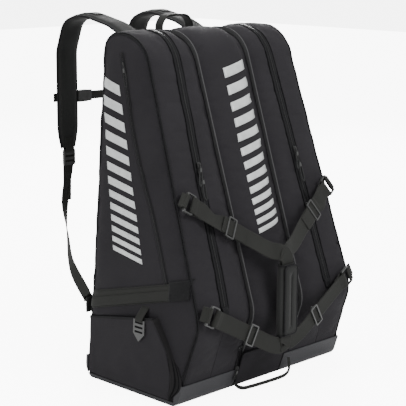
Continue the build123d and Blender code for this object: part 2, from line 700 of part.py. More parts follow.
with BuildPart() as haul_loop:
    with BuildSketch(Plane.XZ.offset(-HAUL_Y)):
        with BuildLine():
            loop_shape = FilletPolyline(*HAUL_POINTS, radius=[HAUL_RADIUS, HAUL_RADIUS])
            offset(loop_shape, amount=HAUL_THICKNESS / 2, side=Side.BOTH)
        make_face()
    extrude(amount=HAUL_WIDTH / 2, both=True)
save(haul_loop, "haul_loop")

# ---------------------------------------------------------------- sternum strap
with BuildPart() as sternum_socket:
    with Locations((SOCKET_X, LOCK_Y, STERNUM_Z)):
        Box(*SOCKET_SIZE)
    with Locations((SOCKET_X + SOCKET_BORE_SHIFT, LOCK_Y, STERNUM_Z)):
        Box(*SOCKET_BORE, mode=Mode.SUBTRACT)
save(sternum_socket, "sternum_socket")

with BuildPart() as sternum_plug:
    with Locations((SOCKET_HIGH + PLUG_BODY_SHIFT, LOCK_Y, STERNUM_Z)):
        Box(*PLUG_BODY)
    prong_x = SOCKET_HIGH + PLUG_PRONG_SHIFT
    with Locations((prong_x, LOCK_Y, STERNUM_Z + PLUG_PRONG_Z),
                   (prong_x, LOCK_Y, STERNUM_Z - PLUG_PRONG_Z)):
        Box(*PLUG_PRONG)
save(sternum_plug, "sternum_plug")

with BuildPart() as sternum_webbing:
    plug_end = (SOCKET_HIGH + PLUG_BODY_SHIFT + PLUG_BODY[0] / 2 + 0.5, LOCK_Y, STERNUM_Z)
    rise_end = (STERNUM_RISE_X, STERNUM_OVER_Y, STERNUM_Z)
    flat_run(plug_end, rise_end, BACKWARD, STERNUM_WIDTH, STERNUM_THICKNESS)
    over_start = (STERNUM_RISE_X - 1, STERNUM_OVER_Y, STERNUM_Z)
    over_end = (STRAP_X + STRAP_WIDTH / 2 + 4, STERNUM_OVER_Y, STERNUM_Z)
    flat_run(over_start, over_end, BACKWARD, STERNUM_WIDTH, STERNUM_THICKNESS)
save(sternum_webbing, "sternum_webbing")
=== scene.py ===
"""Looks of the racket tournament bag: fabric shells, piping, zips, webbing, padding and studio."""
import math

import bmesh
import bpy
import numpy as np
from mathutils import Matrix, Vector, noise
from mathutils.bvhtree import BVHTree


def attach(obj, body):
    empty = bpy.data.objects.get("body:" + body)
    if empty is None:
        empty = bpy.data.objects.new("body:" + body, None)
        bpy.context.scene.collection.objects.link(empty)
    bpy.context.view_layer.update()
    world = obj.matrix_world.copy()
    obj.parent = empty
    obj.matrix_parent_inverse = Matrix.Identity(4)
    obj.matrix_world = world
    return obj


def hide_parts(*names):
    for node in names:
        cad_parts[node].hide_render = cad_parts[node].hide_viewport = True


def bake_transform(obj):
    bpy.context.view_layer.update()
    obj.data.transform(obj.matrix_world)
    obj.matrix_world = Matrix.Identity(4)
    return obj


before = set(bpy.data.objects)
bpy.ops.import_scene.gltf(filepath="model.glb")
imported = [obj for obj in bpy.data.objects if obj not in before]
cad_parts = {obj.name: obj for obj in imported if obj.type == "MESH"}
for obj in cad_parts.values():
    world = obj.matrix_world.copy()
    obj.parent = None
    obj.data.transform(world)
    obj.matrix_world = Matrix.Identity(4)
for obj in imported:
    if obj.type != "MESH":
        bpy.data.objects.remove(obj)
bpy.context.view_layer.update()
MM = 0.001

# ------------------------------------------------------------------ driving sizes, millimetres
HEIGHT = 768
CORNERS = [(-143, 0), (-207, 180), (-14, HEIGHT), (114, HEIGHT), (143, 0)]
CORNER_RADII = [25, 70, 90, 45, 30]
HALF_WIDTH = 255
SIDE_LEAN = 0.0443
SEAM_X = 79
ZIP_INSET = 80
LIP = 7
ZIP_END_Z = 203
HINGE_Z = 150
BAND_Z = 48
ROWS = 128
SIDES = [("left", -1), ("right", 1)]


def half_width(z):
    return HALF_WIDTH - SIDE_LEAN * z


def zip_x(z):
    return half_width(z) - ZIP_INSET


# ------------------------------------------------------------------ mesh helpers
def new_object(name, points, faces, material=None, smooth=True):
    """A mesh object from points in millimetres."""
    mesh = bpy.data.meshes.new(name)
    mesh.from_pydata([tuple(float(c) * MM for c in p) for p in points], [], faces)
    mesh.validate()
    if smooth:
        mesh.polygons.foreach_set("use_smooth", [True] * len(mesh.polygons))
    made = bpy.data.objects.new(name, mesh)
    bpy.context.scene.collection.objects.link(made)
    if material:
        mesh.materials.append(material)
    return made


def grid_faces(rows, columns, base=0, wrap=False, flip=False):
    """Quads between rows of points."""
    faces = []
    last = columns if wrap else columns - 1
    for i in range(rows - 1):
        for j in range(last):
            a = base + i * columns + j
            b = base + i * columns + (j + 1) % columns
            quad = (a, b, b + columns, a + columns)
            faces.append(quad[::-1] if flip else quad)
    return faces


def unit(v):
    v = np.asarray(v, float)
    return v / np.linalg.norm(v, axis=-1, keepdims=True)


def rounded_outline():
    """The side outline as a dense closed run of (y, z) points, from the middle of the base."""
    points = []
    count = len(CORNERS)
    for i in range(count):
        corner = np.array(CORNERS[i], float)
        before = unit(np.array(CORNERS[i - 1], float) - corner)
        after = unit(np.array(CORNERS[(i + 1) % count], float) - corner)
        half_turn = math.acos(float(np.clip(before @ after, -1, 1))) / 2
        reach = CORNER_RADII[i] / math.tan(half_turn)
        centre = corner + unit(before + after) * CORNER_RADII[i] / math.sin(half_turn)
        start = corner + before * reach - centre
        end = corner + after * reach - centre
        first = math.atan2(start[1], start[0])
        sweep = math.atan2(end[1], end[0]) - first
        sweep = (sweep + math.pi) % (2 * math.pi) - math.pi
        for k in range(25):
            angle = first + sweep * k / 24
            points.append(centre + CORNER_RADII[i] * np.array([math.cos(angle), math.sin(angle)]))
    return np.array(points)


def resample(points, count):
    """count points evenly spaced along a run of points."""
    points = np.asarray(points, float)
    steps = np.linalg.norm(np.diff(points, axis=0), axis=1)
    along = np.concatenate([[0], np.cumsum(steps)])
    wanted = np.linspace(0, along[-1], count)
    return np.stack([np.interp(wanted, along, points[:, k]) for k in range(points.shape[1])], 1)


# ------------------------------------------------------------------ materials
def node_material(name):
    made = bpy.data.materials.new(name)
    made.use_nodes = True
    nodes = made.node_tree.nodes
    return made, nodes, made.node_tree.links, nodes["Principled BSDF"]


def link_bump(nodes, links, shader, height, strength, distance):
    bump = nodes.new("ShaderNodeBump")
    bump.inputs["Strength"].default_value = strength
    bump.inputs["Distance"].default_value = distance
    links.new(height, bump.inputs["Height"])
    links.new(bump.outputs["Normal"], shader.inputs["Normal"])


def wave(nodes, links, coords, direction, spacing):
    """Bands across one axis of the object, spacing metres apart."""
    made = nodes.new("ShaderNodeTexWave")
    made.bands_direction = direction
    made.inputs["Scale"].default_value = 2 * math.pi / (20 * spacing)
    made.inputs["Distortion"].default_value = 0.4
    made.inputs["Detail"].default_value = 1.0
    links.new(coords, made.inputs["Vector"])
    return made.outputs["Fac"]


def mottle(nodes, links, coords, scale, detail=3.0):
    made = nodes.new("ShaderNodeTexNoise")
    made.inputs["Scale"].default_value = scale
    made.inputs["Detail"].default_value = detail
    links.new(coords, made.inputs["Vector"])
    return made.outputs["Fac"]


def combine(nodes, links, a, b, operation="MULTIPLY"):
    made = nodes.new("ShaderNodeMath")
    made.operation = operation
    for value, socket in zip((a, b), made.inputs):
        if isinstance(value, (int, float)):
            socket.default_value = value
        else:
            links.new(value, socket)
    return made.outputs[0]


def shaded(nodes, links, factor, low, high):
    """Colour that varies between two tones."""
    ramp = nodes.new("ShaderNodeValToRGB")
    ramp.color_ramp.elements[0].position = 0.3
    ramp.color_ramp.elements[1].position = 0.72
    ramp.color_ramp.elements[0].color = (*low, 1)
    ramp.color_ramp.elements[1].color = (*high, 1)
    links.new(factor, ramp.inputs["Fac"])
    return ramp.outputs["Color"]


def tone(color, factor):
    return tuple(min(1.0, c * factor) for c in color)


def woven(name, color, thread=0.0011, contrast=0.16, rough=0.82, sheen=0.02, relief=0.3,
          glint=0.1):
    """Plain woven cloth: two crossed sets of threads, slight mottling, soft sheen."""
    made, nodes, links, shader = node_material(name)
    coords = nodes.new("ShaderNodeTexCoord").outputs["Object"]
    across = wave(nodes, links, coords, "X", thread)
    depth = wave(nodes, links, coords, "Y", thread)
    up = wave(nodes, links, coords, "Z", thread)
    weave = combine(nodes, links, combine(nodes, links, across, depth, "ADD"), up)
    cloud = mottle(nodes, links, coords, 9.0, 4.0)
    fine = mottle(nodes, links, coords, 420.0, 2.0)
    mixed = combine(nodes, links, combine(nodes, links, cloud, 0.55), combine(nodes, links, fine, 0.45), "ADD")
    links.new(shaded(nodes, links, mixed, tone(color, 1 - contrast), tone(color, 1 + contrast)),
              shader.inputs["Base Color"])
    height = combine(nodes, links, weave, combine(nodes, links, fine, 0.6), "ADD")
    link_bump(nodes, links, shader, height, relief, 0.0003)
    shader.inputs["Roughness"].default_value = rough
    shader.inputs["Sheen Weight"].default_value = sheen
    shader.inputs["Sheen Roughness"].default_value = 0.45
    shader.inputs["Specular IOR Level"].default_value = glint
    return made


def moulded(name, color, rough=0.42, specular=0.5):
    """Moulded plastic or painted metal with a faint grain and a mottled tone."""
    made, nodes, links, shader = node_material(name)
    coords = nodes.new("ShaderNodeTexCoord").outputs["Object"]
    grain = mottle(nodes, links, coords, 900.0, 2.0)
    cloud = mottle(nodes, links, coords, 60.0, 3.0)
    mixed = combine(nodes, links, combine(nodes, links, grain, 0.4), combine(nodes, links, cloud, 0.6), "ADD")
    links.new(shaded(nodes, links, mixed, tone(color, 0.85), tone(color, 1.2)), shader.inputs["Base Color"])
    link_bump(nodes, links, shader, grain, 0.18, 0.0003)
    shader.inputs["Roughness"].default_value = rough
    shader.inputs["Specular IOR Level"].default_value = specular
    return made


def banded(name, color, rib=0.0016, direction="Z", rough=0.7):
    """Ribbed webbing: close ribs with a fine cross weave."""
    made, nodes, links, shader = node_material(name)
    coords = nodes.new("ShaderNodeTexCoord").outputs["Object"]
    ribs = wave(nodes, links, coords, "DIAGONAL", rib)
    cross = wave(nodes, links, coords, direction, rib / 1.6)
    fine = mottle(nodes, links, coords, 500.0, 2.0)
    mixed = combine(nodes, links, combine(nodes, links, ribs, 0.5), combine(nodes, links, fine, 0.5), "ADD")
    links.new(shaded(nodes, links, mixed, tone(color, 0.82), tone(color, 1.18)), shader.inputs["Base Color"])
    link_bump(nodes, links, shader, combine(nodes, links, ribs, cross, "ADD"), 0.3, 0.0003)
    shader.inputs["Roughness"].default_value = rough
    shader.inputs["Sheen Weight"].default_value = 0.02
    shader.inputs["Specular IOR Level"].default_value = 0.14
    return made


MAT = {
    "front": woven("front_cloth", (0.0150, 0.0140, 0.0160)),
    # A darker copy of the front cloth, used for the pocket bellows: painted shade
    "side": woven("side_cloth_painted_shade", (0.0105, 0.0100, 0.0105), rough=0.88, sheen=0.01),
    "lining": woven("lining_cloth", (0.045, 0.045, 0.046), thread=0.0006, contrast=0.1),
    "coated": woven("coated_cloth", (0.028, 0.028, 0.031), thread=0.0014, contrast=0.1, rough=0.5, sheen=0.02,
                    relief=0.25, glint=0.2),
    "trim": woven("trim_cloth", (0.0065, 0.0065, 0.0072), thread=0.0007, contrast=0.15, rough=0.65, sheen=0.01),
    # Near-black cloth of the thin tubes along the zip tape edges, the pocket creases and the pocket mouth: painted
    # shade in those gaps and folds
    "fold": woven("painted_shade_cloth", (0.0028, 0.0028, 0.0032), thread=0.0007, contrast=0.15, rough=0.9, glint=0.04),
    "strap": woven("strap_cloth", (0.0165, 0.0170, 0.0165), thread=0.0011, sheen=0.05, rough=0.75),
    "mesh": woven("air_mesh", (0.0095, 0.0095, 0.010), thread=0.003, contrast=0.3, rough=0.9, relief=0.8),
    "webbing": banded("webbing_cloth", (0.0118, 0.0122, 0.0108)),
    "plastic": moulded("moulded_plastic", (0.026, 0.0265, 0.026), rough=0.38, specular=0.55),
    "metal": moulded("painted_metal", (0.010, 0.010, 0.010), rough=0.42, specular=0.4),
    "coil": moulded("nylon_coil", (0.005, 0.005, 0.0055), rough=0.4, specular=0.35),
    "cord": banded("braided_cord", (0.019, 0.0195, 0.0195), rib=0.0012),
    "board": moulded("stiffener_board", (0.02, 0.02, 0.02), rough=0.8),
    "thread": banded("sewing_thread", (0.016, 0.016, 0.0165), rib=0.0006),
    "print": moulded("silver_print", (0.42, 0.435, 0.43), rough=0.36, specular=0.7),
}

# ------------------------------------------------------------------ camera, as the catalogue picture
EYE = Vector((-2.0468, -1.9875, 0.9635))
LOOK = Vector((0.69717, 0.68803, -0.20142))
RIGHT = Vector((0.70313, -0.71104, 0.00492))
camera_data = bpy.data.cameras.new("camera")
camera = bpy.data.objects.new("camera", camera_data)
bpy.context.scene.collection.objects.link(camera)
camera_up = RIGHT.cross(LOOK).normalized()
axes = Matrix((RIGHT.normalized(), camera_up, -LOOK.normalized())).transposed()
camera.matrix_world = Matrix.Translation(EYE) @ axes.to_4x4()
camera_data.lens = 115.3
camera_data.sensor_width = 36
camera_data.clip_end = 50
bpy.context.scene.camera = camera

# ------------------------------------------------------------------ floor and light
world = bpy.data.worlds.new("studio")
world.use_nodes = True
world.node_tree.nodes["Background"].inputs["Color"].default_value = (1, 1, 1, 1)
seen = world.node_tree.nodes.new("ShaderNodeLightPath")
strength = world.node_tree.nodes.new("ShaderNodeMapRange")
strength.inputs["To Min"].default_value = 0.85
strength.inputs["To Max"].default_value = 6.0
world.node_tree.links.new(seen.outputs["Is Camera Ray"], strength.inputs["Value"])
world.node_tree.links.new(strength.outputs["Result"], world.node_tree.nodes["Background"].inputs["Strength"])
bpy.context.scene.world = world
floor_paint = moulded("floor_paint", (0.95, 0.95, 0.95), rough=0.6, specular=0.2)
floor_paint.node_tree.nodes["Principled BSDF"].inputs["Emission Color"].default_value = (1, 1, 1, 1)
glow = floor_paint.node_tree.nodes.new("ShaderNodeLightPath")
brighter = combine(floor_paint.node_tree.nodes, floor_paint.node_tree.links, glow.outputs["Is Camera Ray"], 8.0)
floor_paint.node_tree.links.new(brighter, floor_paint.node_tree.nodes["Principled BSDF"].inputs["Emission Strength"])
floor = new_object("floor", [(-9000, -9000, 0), (9000, -9000, 0), (9000, 9000, 0), (-9000, 9000, 0)],
                   [(0, 1, 2, 3)], floor_paint)


def area_light(name, place, target, size, power):
    data = bpy.data.lights.new(name, "AREA")
    data.shape = "DISK"
    data.size = size
    data.energy = power
    lamp = bpy.data.objects.new(name, data)
    bpy.context.scene.collection.objects.link(lamp)
    lamp.location = place
    lamp.rotation_mode = "QUATERNION"
    lamp.rotation_quaternion = (Vector(target) - Vector(place)).to_track_quat("-Z", "Y")


MIDDLE = (0, 0, 0.4)
area_light("key_light", (0.4, -3.2, 2.7), MIDDLE, 1.8, 130)
area_light("side_light", (-3.4, 0.2, 1.9), MIDDLE, 1.6, 48)
area_light("top_light", (-0.3, 0.6, 3.4), MIDDLE, 2.0, 90)
area_light("back_light", (2.6, 2.4, 1.8), MIDDLE, 1.5, 90)

# ------------------------------------------------------------------ the fabric skin
VALLEY = 13
EDGE_DIP = 2
REST_DIP = 3
CAP = 5.0
VOXEL = 0.0065


def split_outline():
    """Front and rear halves of the side outline, from the base to the crest, evenly spaced."""
    points = rounded_outline()
    on_base = points[:, 1] < 1e-6
    first = np.argmin(np.where(on_base, points[:, 0], 1e9))
    last = np.argmax(np.where(on_base, points[:, 0], -1e9))
    turned = np.roll(points, -first, axis=0)
    last = (last - first) % len(turned)
    crest = int(np.argmax(turned[:, 1] > HEIGHT - 1e-6))
    middle = (turned[crest] + turned[crest + 1]) / 2
    front = np.vstack([turned[:crest + 1], middle])
    rear = np.vstack([middle, turned[crest + 1:last + 1]])[::-1]
    return resample(front, ROWS), resample(rear, ROWS)


def outward(path, sign):
    steps = np.gradient(path, axis=0)
    return unit(np.stack([-steps[:, 1], steps[:, 0]], 1) * sign)


FRONT, REAR = split_outline()
FRONT_OUT = outward(FRONT, 1)
REAR_OUT = outward(REAR, -1)


def depth(x, z):
    """How far the seams, zips and edges pull the cloth in under the crown of the shells."""
    x = abs(x)
    edge = half_width(z)
    pulled = REST_DIP + VALLEY * math.exp(-((x - SEAM_X) / 21) ** 2)
    pulled += EDGE_DIP * math.exp(-(edge - x) / 10)
    rise = min(1.0, max(0.0, (z - BAND_Z) / 75))
    return pulled * rise


def on_path(path, out, row, x, lift=0.0):
    """A point of the pulled-in surface at a row of the front or rear outline."""
    y, z = path[row]
    drop = depth(x, z) - lift
    return (x, y - out[row][0] * drop, z - out[row][1] * drop)


def column_stops(z):
    stops = [0.0]
    edge = half_width(z)
    for start, end, count in [(0, SEAM_X, 10), (SEAM_X, zip_x(z), 10), (zip_x(z), edge, 9)]:
        stops += [start + (end - start) * (k + 1) / count for k in range(count)]
    return np.array([-c for c in stops[:0:-1]] + stops)


def closed_shell():
    """The bag's closed outer surface before it is filled."""
    rows = [(FRONT, FRONT_OUT, i) for i in range(ROWS)] + [(REAR, REAR_OUT, i) for i in range(ROWS - 2, -1, -1)]
    points = []
    for path, out, i in rows:
        points += [on_path(path, out, i, x) for x in column_stops(path[i][1])]
    columns = len(column_stops(0))
    faces = grid_faces(len(rows), columns, wrap=False)
    for edge in (0, columns - 1):
        left = edge == 0
        for i in range(ROWS - 1):
            a, b = i * columns + edge, (i + 1) * columns + edge
            c, d = (len(rows) - 2 - i) * columns + edge, (len(rows) - 1 - i) * columns + edge
            quad = (a, b, c, d) if b != c else (a, b, d)
            faces.append(quad if left else quad[::-1])
    last = (len(rows) - 1) * columns
    for j in range(columns - 1):
        faces.append((j, last + j, last + j + 1, j + 1))
    return new_object("skin", points, faces)


def coordinates(mesh):
    co = np.zeros(len(mesh.vertices) * 3)
    mesh.vertices.foreach_get("co", co)
    return co.reshape(-1, 3)


def applied(obj):
    """The object with its modifiers made real."""
    depsgraph = bpy.context.evaluated_depsgraph_get()
    mesh = bpy.data.meshes.new_from_object(obj.evaluated_get(depsgraph))
    obj.modifiers.clear()
    old = obj.data
    obj.data = mesh
    bpy.data.meshes.remove(old)
    return obj


def remesh(obj, voxel):
    modifier = obj.modifiers.new("remesh", "REMESH")
    modifier.mode = "VOXEL"
    modifier.voxel_size = voxel
    modifier.use_smooth_shade = True
    return applied(obj)


def smoothed(obj, factor, repeat):
    modifier = obj.modifiers.new("smooth", "SMOOTH")
    modifier.factor = factor
    modifier.iterations = repeat
    return applied(obj)


def fill_with_air(obj, pin, cap, pressure=3.0, shrink=-0.01, frames=20):
    """Cloth that swells under light pressure, held where pin is 1, moving no further than cap."""
    group = obj.vertex_groups.new(name="pin")
    for i, weight in enumerate(pin):
        group.add([i], float(weight), "REPLACE")
    before = coordinates(obj.data)
    cloth = obj.modifiers.new("cloth", "CLOTH")
    cloth.settings.quality = 5
    cloth.settings.mass = 0.3
    cloth.settings.tension_stiffness = 12
    cloth.settings.compression_stiffness = 12
    cloth.settings.bending_stiffness = 0.6
    cloth.settings.use_pressure = True
    cloth.settings.uniform_pressure_force = pressure
    cloth.settings.shrink_min = shrink
    cloth.settings.vertex_group_mass = "pin"
    cloth.settings.effector_weights.gravity = 0
    cloth.collision_settings.use_collision = False
    scene = bpy.context.scene
    for number in range(1, frames + 1):
        scene.frame_set(number)
    depsgraph = bpy.context.evaluated_depsgraph_get()
    after = coordinates(obj.evaluated_get(depsgraph).data)
    obj.modifiers.clear()
    scene.frame_set(1)
    move = after - before
    size = np.linalg.norm(move, axis=1, keepdims=True) + 1e-9
    moved = before + move / size * cap * np.tanh(size / cap)
    obj.data.vertices.foreach_set("co", moved.ravel())
    obj.data.update()
    obj.vertex_groups.clear()
    return obj


skin = remesh(closed_shell(), VOXEL)
skin = smoothed(skin, 0.5, 3)


def seam_distance(co):
    """Distance in mm of each point from the nearest seam, zip, edge or the base band."""
    x, z = np.abs(co[:, 0]) / MM, co[:, 2] / MM
    edge = HALF_WIDTH - SIDE_LEAN * z
    on_panel = edge - x < 9
    seams = np.minimum(np.abs(x - SEAM_X), np.abs(x - (edge - ZIP_INSET)))
    seams = np.minimum(seams, np.abs(x - edge + 4))
    outline_gap = np.full(len(co), 1e9)
    for path in (FRONT, REAR):
        for i in range(0, ROWS, 1):
            gap = np.hypot(co[:, 1] / MM - path[i][0], z - path[i][1])
            outline_gap = np.minimum(outline_gap, gap)
    near = np.where(on_panel, outline_gap, seams)
    return np.minimum(near, np.maximum(0, z - 55))


skin_points = coordinates(skin.data)
gap_to_seam = seam_distance(skin_points)
fill_with_air(skin, np.clip(1.6 - gap_to_seam / 7, 0, 1), CAP * MM)
smoothed(skin, 0.4, 1)


def wrinkle(obj):
    """Soft gathers that run out from the seams, and broad unevenness of the padding."""
    mesh = obj.data
    co = coordinates(mesh)
    normals = np.zeros(len(co) * 3)
    mesh.vertices.foreach_get("normal", normals)
    normals = normals.reshape(-1, 3)
    gap = seam_distance(co)
    move = np.zeros(len(co))
    for i, point in enumerate(co):
        if point[2] < 0.055:
            continue
        fade = min(1.0, (point[2] - 0.055) / 0.05)
        broad = noise.noise(Vector(point) * 9.0)
        gather = noise.noise(Vector((point[0] * 16, point[1] * 34, point[2] * 44)))
        close = math.exp(-gap[i] / 20) * (1 - math.exp(-gap[i] / 4))
        move[i] = (1.3 * broad + 3.4 * gather * close) * fade * MM
    mesh.vertices.foreach_set("co", (co + normals * move[:, None]).ravel())
    mesh.update()


wrinkle(skin)


def cut(source, name, planes):
    """A copy of the skin, kept where it lies behind every (point, normal) plane."""
    mesh = bmesh.new()
    mesh.from_mesh(source.data)
    for point, normal in planes:
        everything = mesh.verts[:] + mesh.edges[:] + mesh.faces[:]
        bmesh.ops.bisect_plane(mesh, geom=everything, dist=0.00002, plane_co=Vector(point) * MM,
                               plane_no=Vector(normal), clear_outer=True)
    data = bpy.data.meshes.new(name)
    mesh.to_mesh(data)
    mesh.free()
    data.polygons.foreach_set("use_smooth", [True] * len(data.polygons))
    made = bpy.data.objects.new(name, data)
    bpy.context.scene.collection.objects.link(made)
    return made


def finish_cloth(obj, material, thickness=2.2):
    obj.data.materials.clear()
    obj.data.materials.append(material)
    soften = obj.modifiers.new("soften", "SUBSURF")
    soften.levels = soften.render_levels = 1
    solid = obj.modifiers.new("thickness", "SOLIDIFY")
    solid.thickness = thickness * MM
    solid.offset = -1


FLOOR_CUT = ((0, 0, 5), (0, 0, -1))


def cover_blend(obj):
    """Cloth of an outer half keeps its place: its transform is baked into its mesh."""
    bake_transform(obj)


centre_fabric = cut(skin, "centre_fabric", [FLOOR_CUT, ((SEAM_X - 0.4, 0, 0), (1, 0, 0)),
                                            ((-SEAM_X + 0.4, 0, 0), (-1, 0, 0))])
finish_cloth(centre_fabric, MAT["front"])
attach(centre_fabric, "bag_body")
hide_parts("centre_shell")
for name, side in SIDES:
    zip_normal = (side, 0, SIDE_LEAN)
    inner_zip = (side * (HALF_WIDTH - ZIP_INSET - 0.5), 0, 0)
    inner = cut(skin, f"{name}_inner_fabric", [FLOOR_CUT, ((side * (SEAM_X + 0.4), 0, 0), (-side, 0, 0)),
                                               (inner_zip, zip_normal)])
    finish_cloth(inner, MAT["front"])
    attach(inner, "bag_body")
    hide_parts(f"{name}_inner_gusset")
    outer_zip = (side * (HALF_WIDTH - ZIP_INSET + 0.5), 0, 0)
    outer = cut(skin, f"{name}_outer_fabric", [FLOOR_CUT, (outer_zip, (-side, 0, -SIDE_LEAN))])
    finish_cloth(outer, MAT["front"])
    cover_blend(outer)
    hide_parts(f"{name}_cover", f"{name}_lower_shell")
skin_tree = BVHTree.FromObject(skin, bpy.context.evaluated_depsgraph_get())
bpy.data.objects.remove(skin)

# ------------------------------------------------------------------ placing, projecting and sweeping
def place(obj, body, slot_name, *replaced):
    """The piece rides on a body, or, where body is a side's name, has its transform baked into its mesh."""
    if body in ("left", "right"):
        cover_blend(obj)
    else:
        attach(obj, body)
    if replaced:
        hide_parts(*replaced)
    return obj


def cast(origin, way):
    """Where a ray meets the skin, in mm, and the skin's outward direction there."""
    hit, normal, _, _ = skin_tree.ray_cast(Vector(origin) * MM, Vector(way).normalized())
    if hit is None:
        return None, None
    normal = np.array(normal)
    if normal @ np.array(way, float) > 0:
        normal = -normal
    return np.array(hit) / MM, normal


def on_front(x, z):
    return cast((x, -900, z), (0, 1, 0))


def on_side(side):
    """Projection of (y, z) onto a side panel."""
    return lambda y, z: cast((side * 900, y, z), (-side, 0, 0))


def on_round(x, row, rear=False):
    """Projection onto the front, top or back at a row of the outline."""
    path, out = (REAR, REAR_OUT) if rear else (FRONT, FRONT_OUT)
    origin = (x, path[row][0] + out[row][0] * 60, path[row][1] + out[row][1] * 60)
    return cast(origin, (0, -out[row][0], -out[row][1]))


def catmull(points, per=8):
    """A smooth run through the points."""
    points = np.asarray(points, float)
    padded = np.vstack([2 * points[0] - points[1], points, 2 * points[-1] - points[-2]])
    made = []
    for i in range(1, len(padded) - 2):
        a, b, c, d = padded[i - 1:i + 3]
        for k in range(per):
            t = k / per
            made.append(0.5 * (2 * b + (c - a) * t + (2 * a - 5 * b + 4 * c - d) * t * t
                               + (3 * b - a - 3 * c + d) * t ** 3))
    made.append(points[-1])
    return np.array(made)


def filleted(points, radii, per=10):
    """Straight runs joined by arcs, for the path of a padded strap, in two dimensions."""
    points = [np.array(p, float) for p in points]
    made = [points[0]]
    for corner, before, after, radius in zip(points[1:-1], points, points[2:], radii):
        u, v = unit(before - corner), unit(after - corner)
        half_turn = math.acos(float(np.clip(u @ v, -1, 1))) / 2
        centre = corner + unit(u + v) * radius / math.sin(half_turn)
        reach = radius / math.tan(half_turn)
        start, end = corner + u * reach - centre, corner + v * reach - centre
        first = math.atan2(start[1], start[0])
        sweep = (math.atan2(end[1], end[0]) - first + math.pi) % (2 * math.pi) - math.pi
        made += [centre + radius * np.array([math.cos(first + sweep * k / per), math.sin(first + sweep * k / per)])
                 for k in range(per + 1)]
    made.append(points[-1])
    return np.array(made)


def sweep_profile(name, centres, outs, profile, material, closed=True):
    """A profile of (across, out) points carried along a line; profile may be a function of the share."""
    centres = np.asarray(centres, float)
    tangents = unit(np.gradient(centres, axis=0))
    outs = np.asarray(outs, float)
    outs = unit(outs - tangents * np.sum(outs * tangents, axis=1, keepdims=True))
    across = np.cross(tangents, outs)
    points = []
    count = 0
    for i, centre in enumerate(centres):
        section = profile(i / (len(centres) - 1)) if callable(profile) else profile
        count = len(section)
        points += [centre + across[i] * u + outs[i] * v for u, v in section]
    faces = grid_faces(len(centres), count, wrap=closed)
    if closed:
        faces.append(tuple(range(count))[::-1])
        faces.append(tuple(range(len(points) - count, len(points))))
    made = new_object(name, points, faces, material)
    mesh = bmesh.new()
    mesh.from_mesh(made.data)
    bmesh.ops.recalc_face_normals(mesh, faces=mesh.faces[:])
    mesh.to_mesh(made.data)
    mesh.free()
    return made


def flat_section(width, thickness):
    w, h = width / 2, thickness / 2
    half = [(-w, -0.4 * h), (-w, 0.4 * h), (-w + 0.9, h), (-w + 3, 0.8 * h), (w - 3, 0.8 * h), (w - 0.9, h),
            (w, 0.4 * h), (w, -0.4 * h), (w - 0.9, -h), (w - 3, -0.8 * h), (-w + 3, -0.8 * h), (-w + 0.9, -h)]
    return half


def round_section(radius, count=8):
    turns = [2 * math.pi * k / count for k in range(count)]
    return [(radius * math.cos(t), radius * math.sin(t)) for t in turns]


def oval_section(width, height, power=2.6, count=20):
    points = []
    for k in range(count):
        turn = 2 * math.pi * k / count
        c, s = math.cos(turn), math.sin(turn)
        points.append((width / 2 * math.copysign(abs(c) ** (2 / power), c),
                       height / 2 * math.copysign(abs(s) ** (2 / power), s)))
    return points


def ribbon(name, stations, width, material, thickness=2.2, per=8):
    """Flat webbing through stations of (point, way that its face looks)."""
    centres = catmull([s[0] for s in stations], per)
    outs = catmull([unit(s[1]) for s in stations], per)
    return sweep_profile(name, centres, outs, flat_section(width, thickness), material)


def tube(name, points, radius, material, outs=None, count=8):
    points = np.asarray(points, float)
    if outs is None:
        outs = np.tile([0.31, 0.23, 0.92], (len(points), 1))
    return sweep_profile(name, points, outs, round_section(radius, count), material)


def stitches(name, centres, outs, material, length=2.6, gap=1.5, thick=0.55, lift=0.25):
    """A row of sewn stitches along a line, each a small raised bar."""
    centres = np.asarray(centres, float)
    steps = np.linalg.norm(np.diff(centres, axis=0), axis=1)
    along = np.concatenate([[0], np.cumsum(steps)])
    outs = np.asarray(outs, float)
    points, faces = [], []
    start = gap
    while start + length < along[-1]:
        ends = [np.array([np.interp(s, along, centres[:, k]) for k in range(3)]) for s in (start, start + length)]
        out = unit(np.array([np.interp(start, along, outs[:, k]) for k in range(3)]))
        way = unit(ends[1] - ends[0])
        side_way = np.cross(way, out) * thick / 2
        base = len(points)
        for end, rise in ((ends[0], 0.15), (ends[0] + way * length * 0.25, 1), (ends[1] - way * length * 0.25, 1),
                          (ends[1], 0.15)):
            top = end + out * (lift + thick * rise)
            low = end - out * 0.4
            points += [low - side_way, top - side_way * 0.6, top + side_way * 0.6, low + side_way]
        for k in range(3):
            a = base + 4 * k
            faces += [(a, a + 1, a + 5, a + 4), (a + 1, a + 2, a + 6, a + 5), (a + 2, a + 3, a + 7, a + 6)]
        faces += [(base + 3, base + 2, base + 1, base), (base + 12, base + 13, base + 14, base + 15)]
        start += length + gap
    return new_object(name, points, faces, material, smooth=False)


def patch(name, corners, project, counts, lift, thickness, material, puff=0.0):
    """A four-sided piece of cloth or print laid on the skin: corners run round its edge."""
    nu, nv = counts
    points = []
    for i in range(nv):
        v = i / (nv - 1)
        for j in range(nu):
            u = j / (nu - 1)
            a, b, c, d = [np.array(p, float) for p in corners]
            flat = (a * (1 - u) + b * u) * (1 - v) + (d * (1 - u) + c * u) * v
            hit, normal = project(*flat)
            rise = lift + puff * (16 * u * (1 - u) * v * (1 - v)) ** 0.6
            points.append(hit + normal * rise)
    made = new_object(name, points, grid_faces(nv, nu), material)
    mesh = bmesh.new()
    mesh.from_mesh(made.data)
    _, normal = project(*np.mean(np.array(corners, float), axis=0))
    mesh.faces.ensure_lookup_table()
    if mesh.faces[len(mesh.faces) // 2].normal.dot(Vector(normal)) < 0:
        bmesh.ops.reverse_faces(mesh, faces=mesh.faces[:])
    mesh.to_mesh(made.data)
    mesh.free()
    solid = made.modifiers.new("thickness", "SOLIDIFY")
    solid.thickness = thickness * MM
    solid.offset = -1
    return made


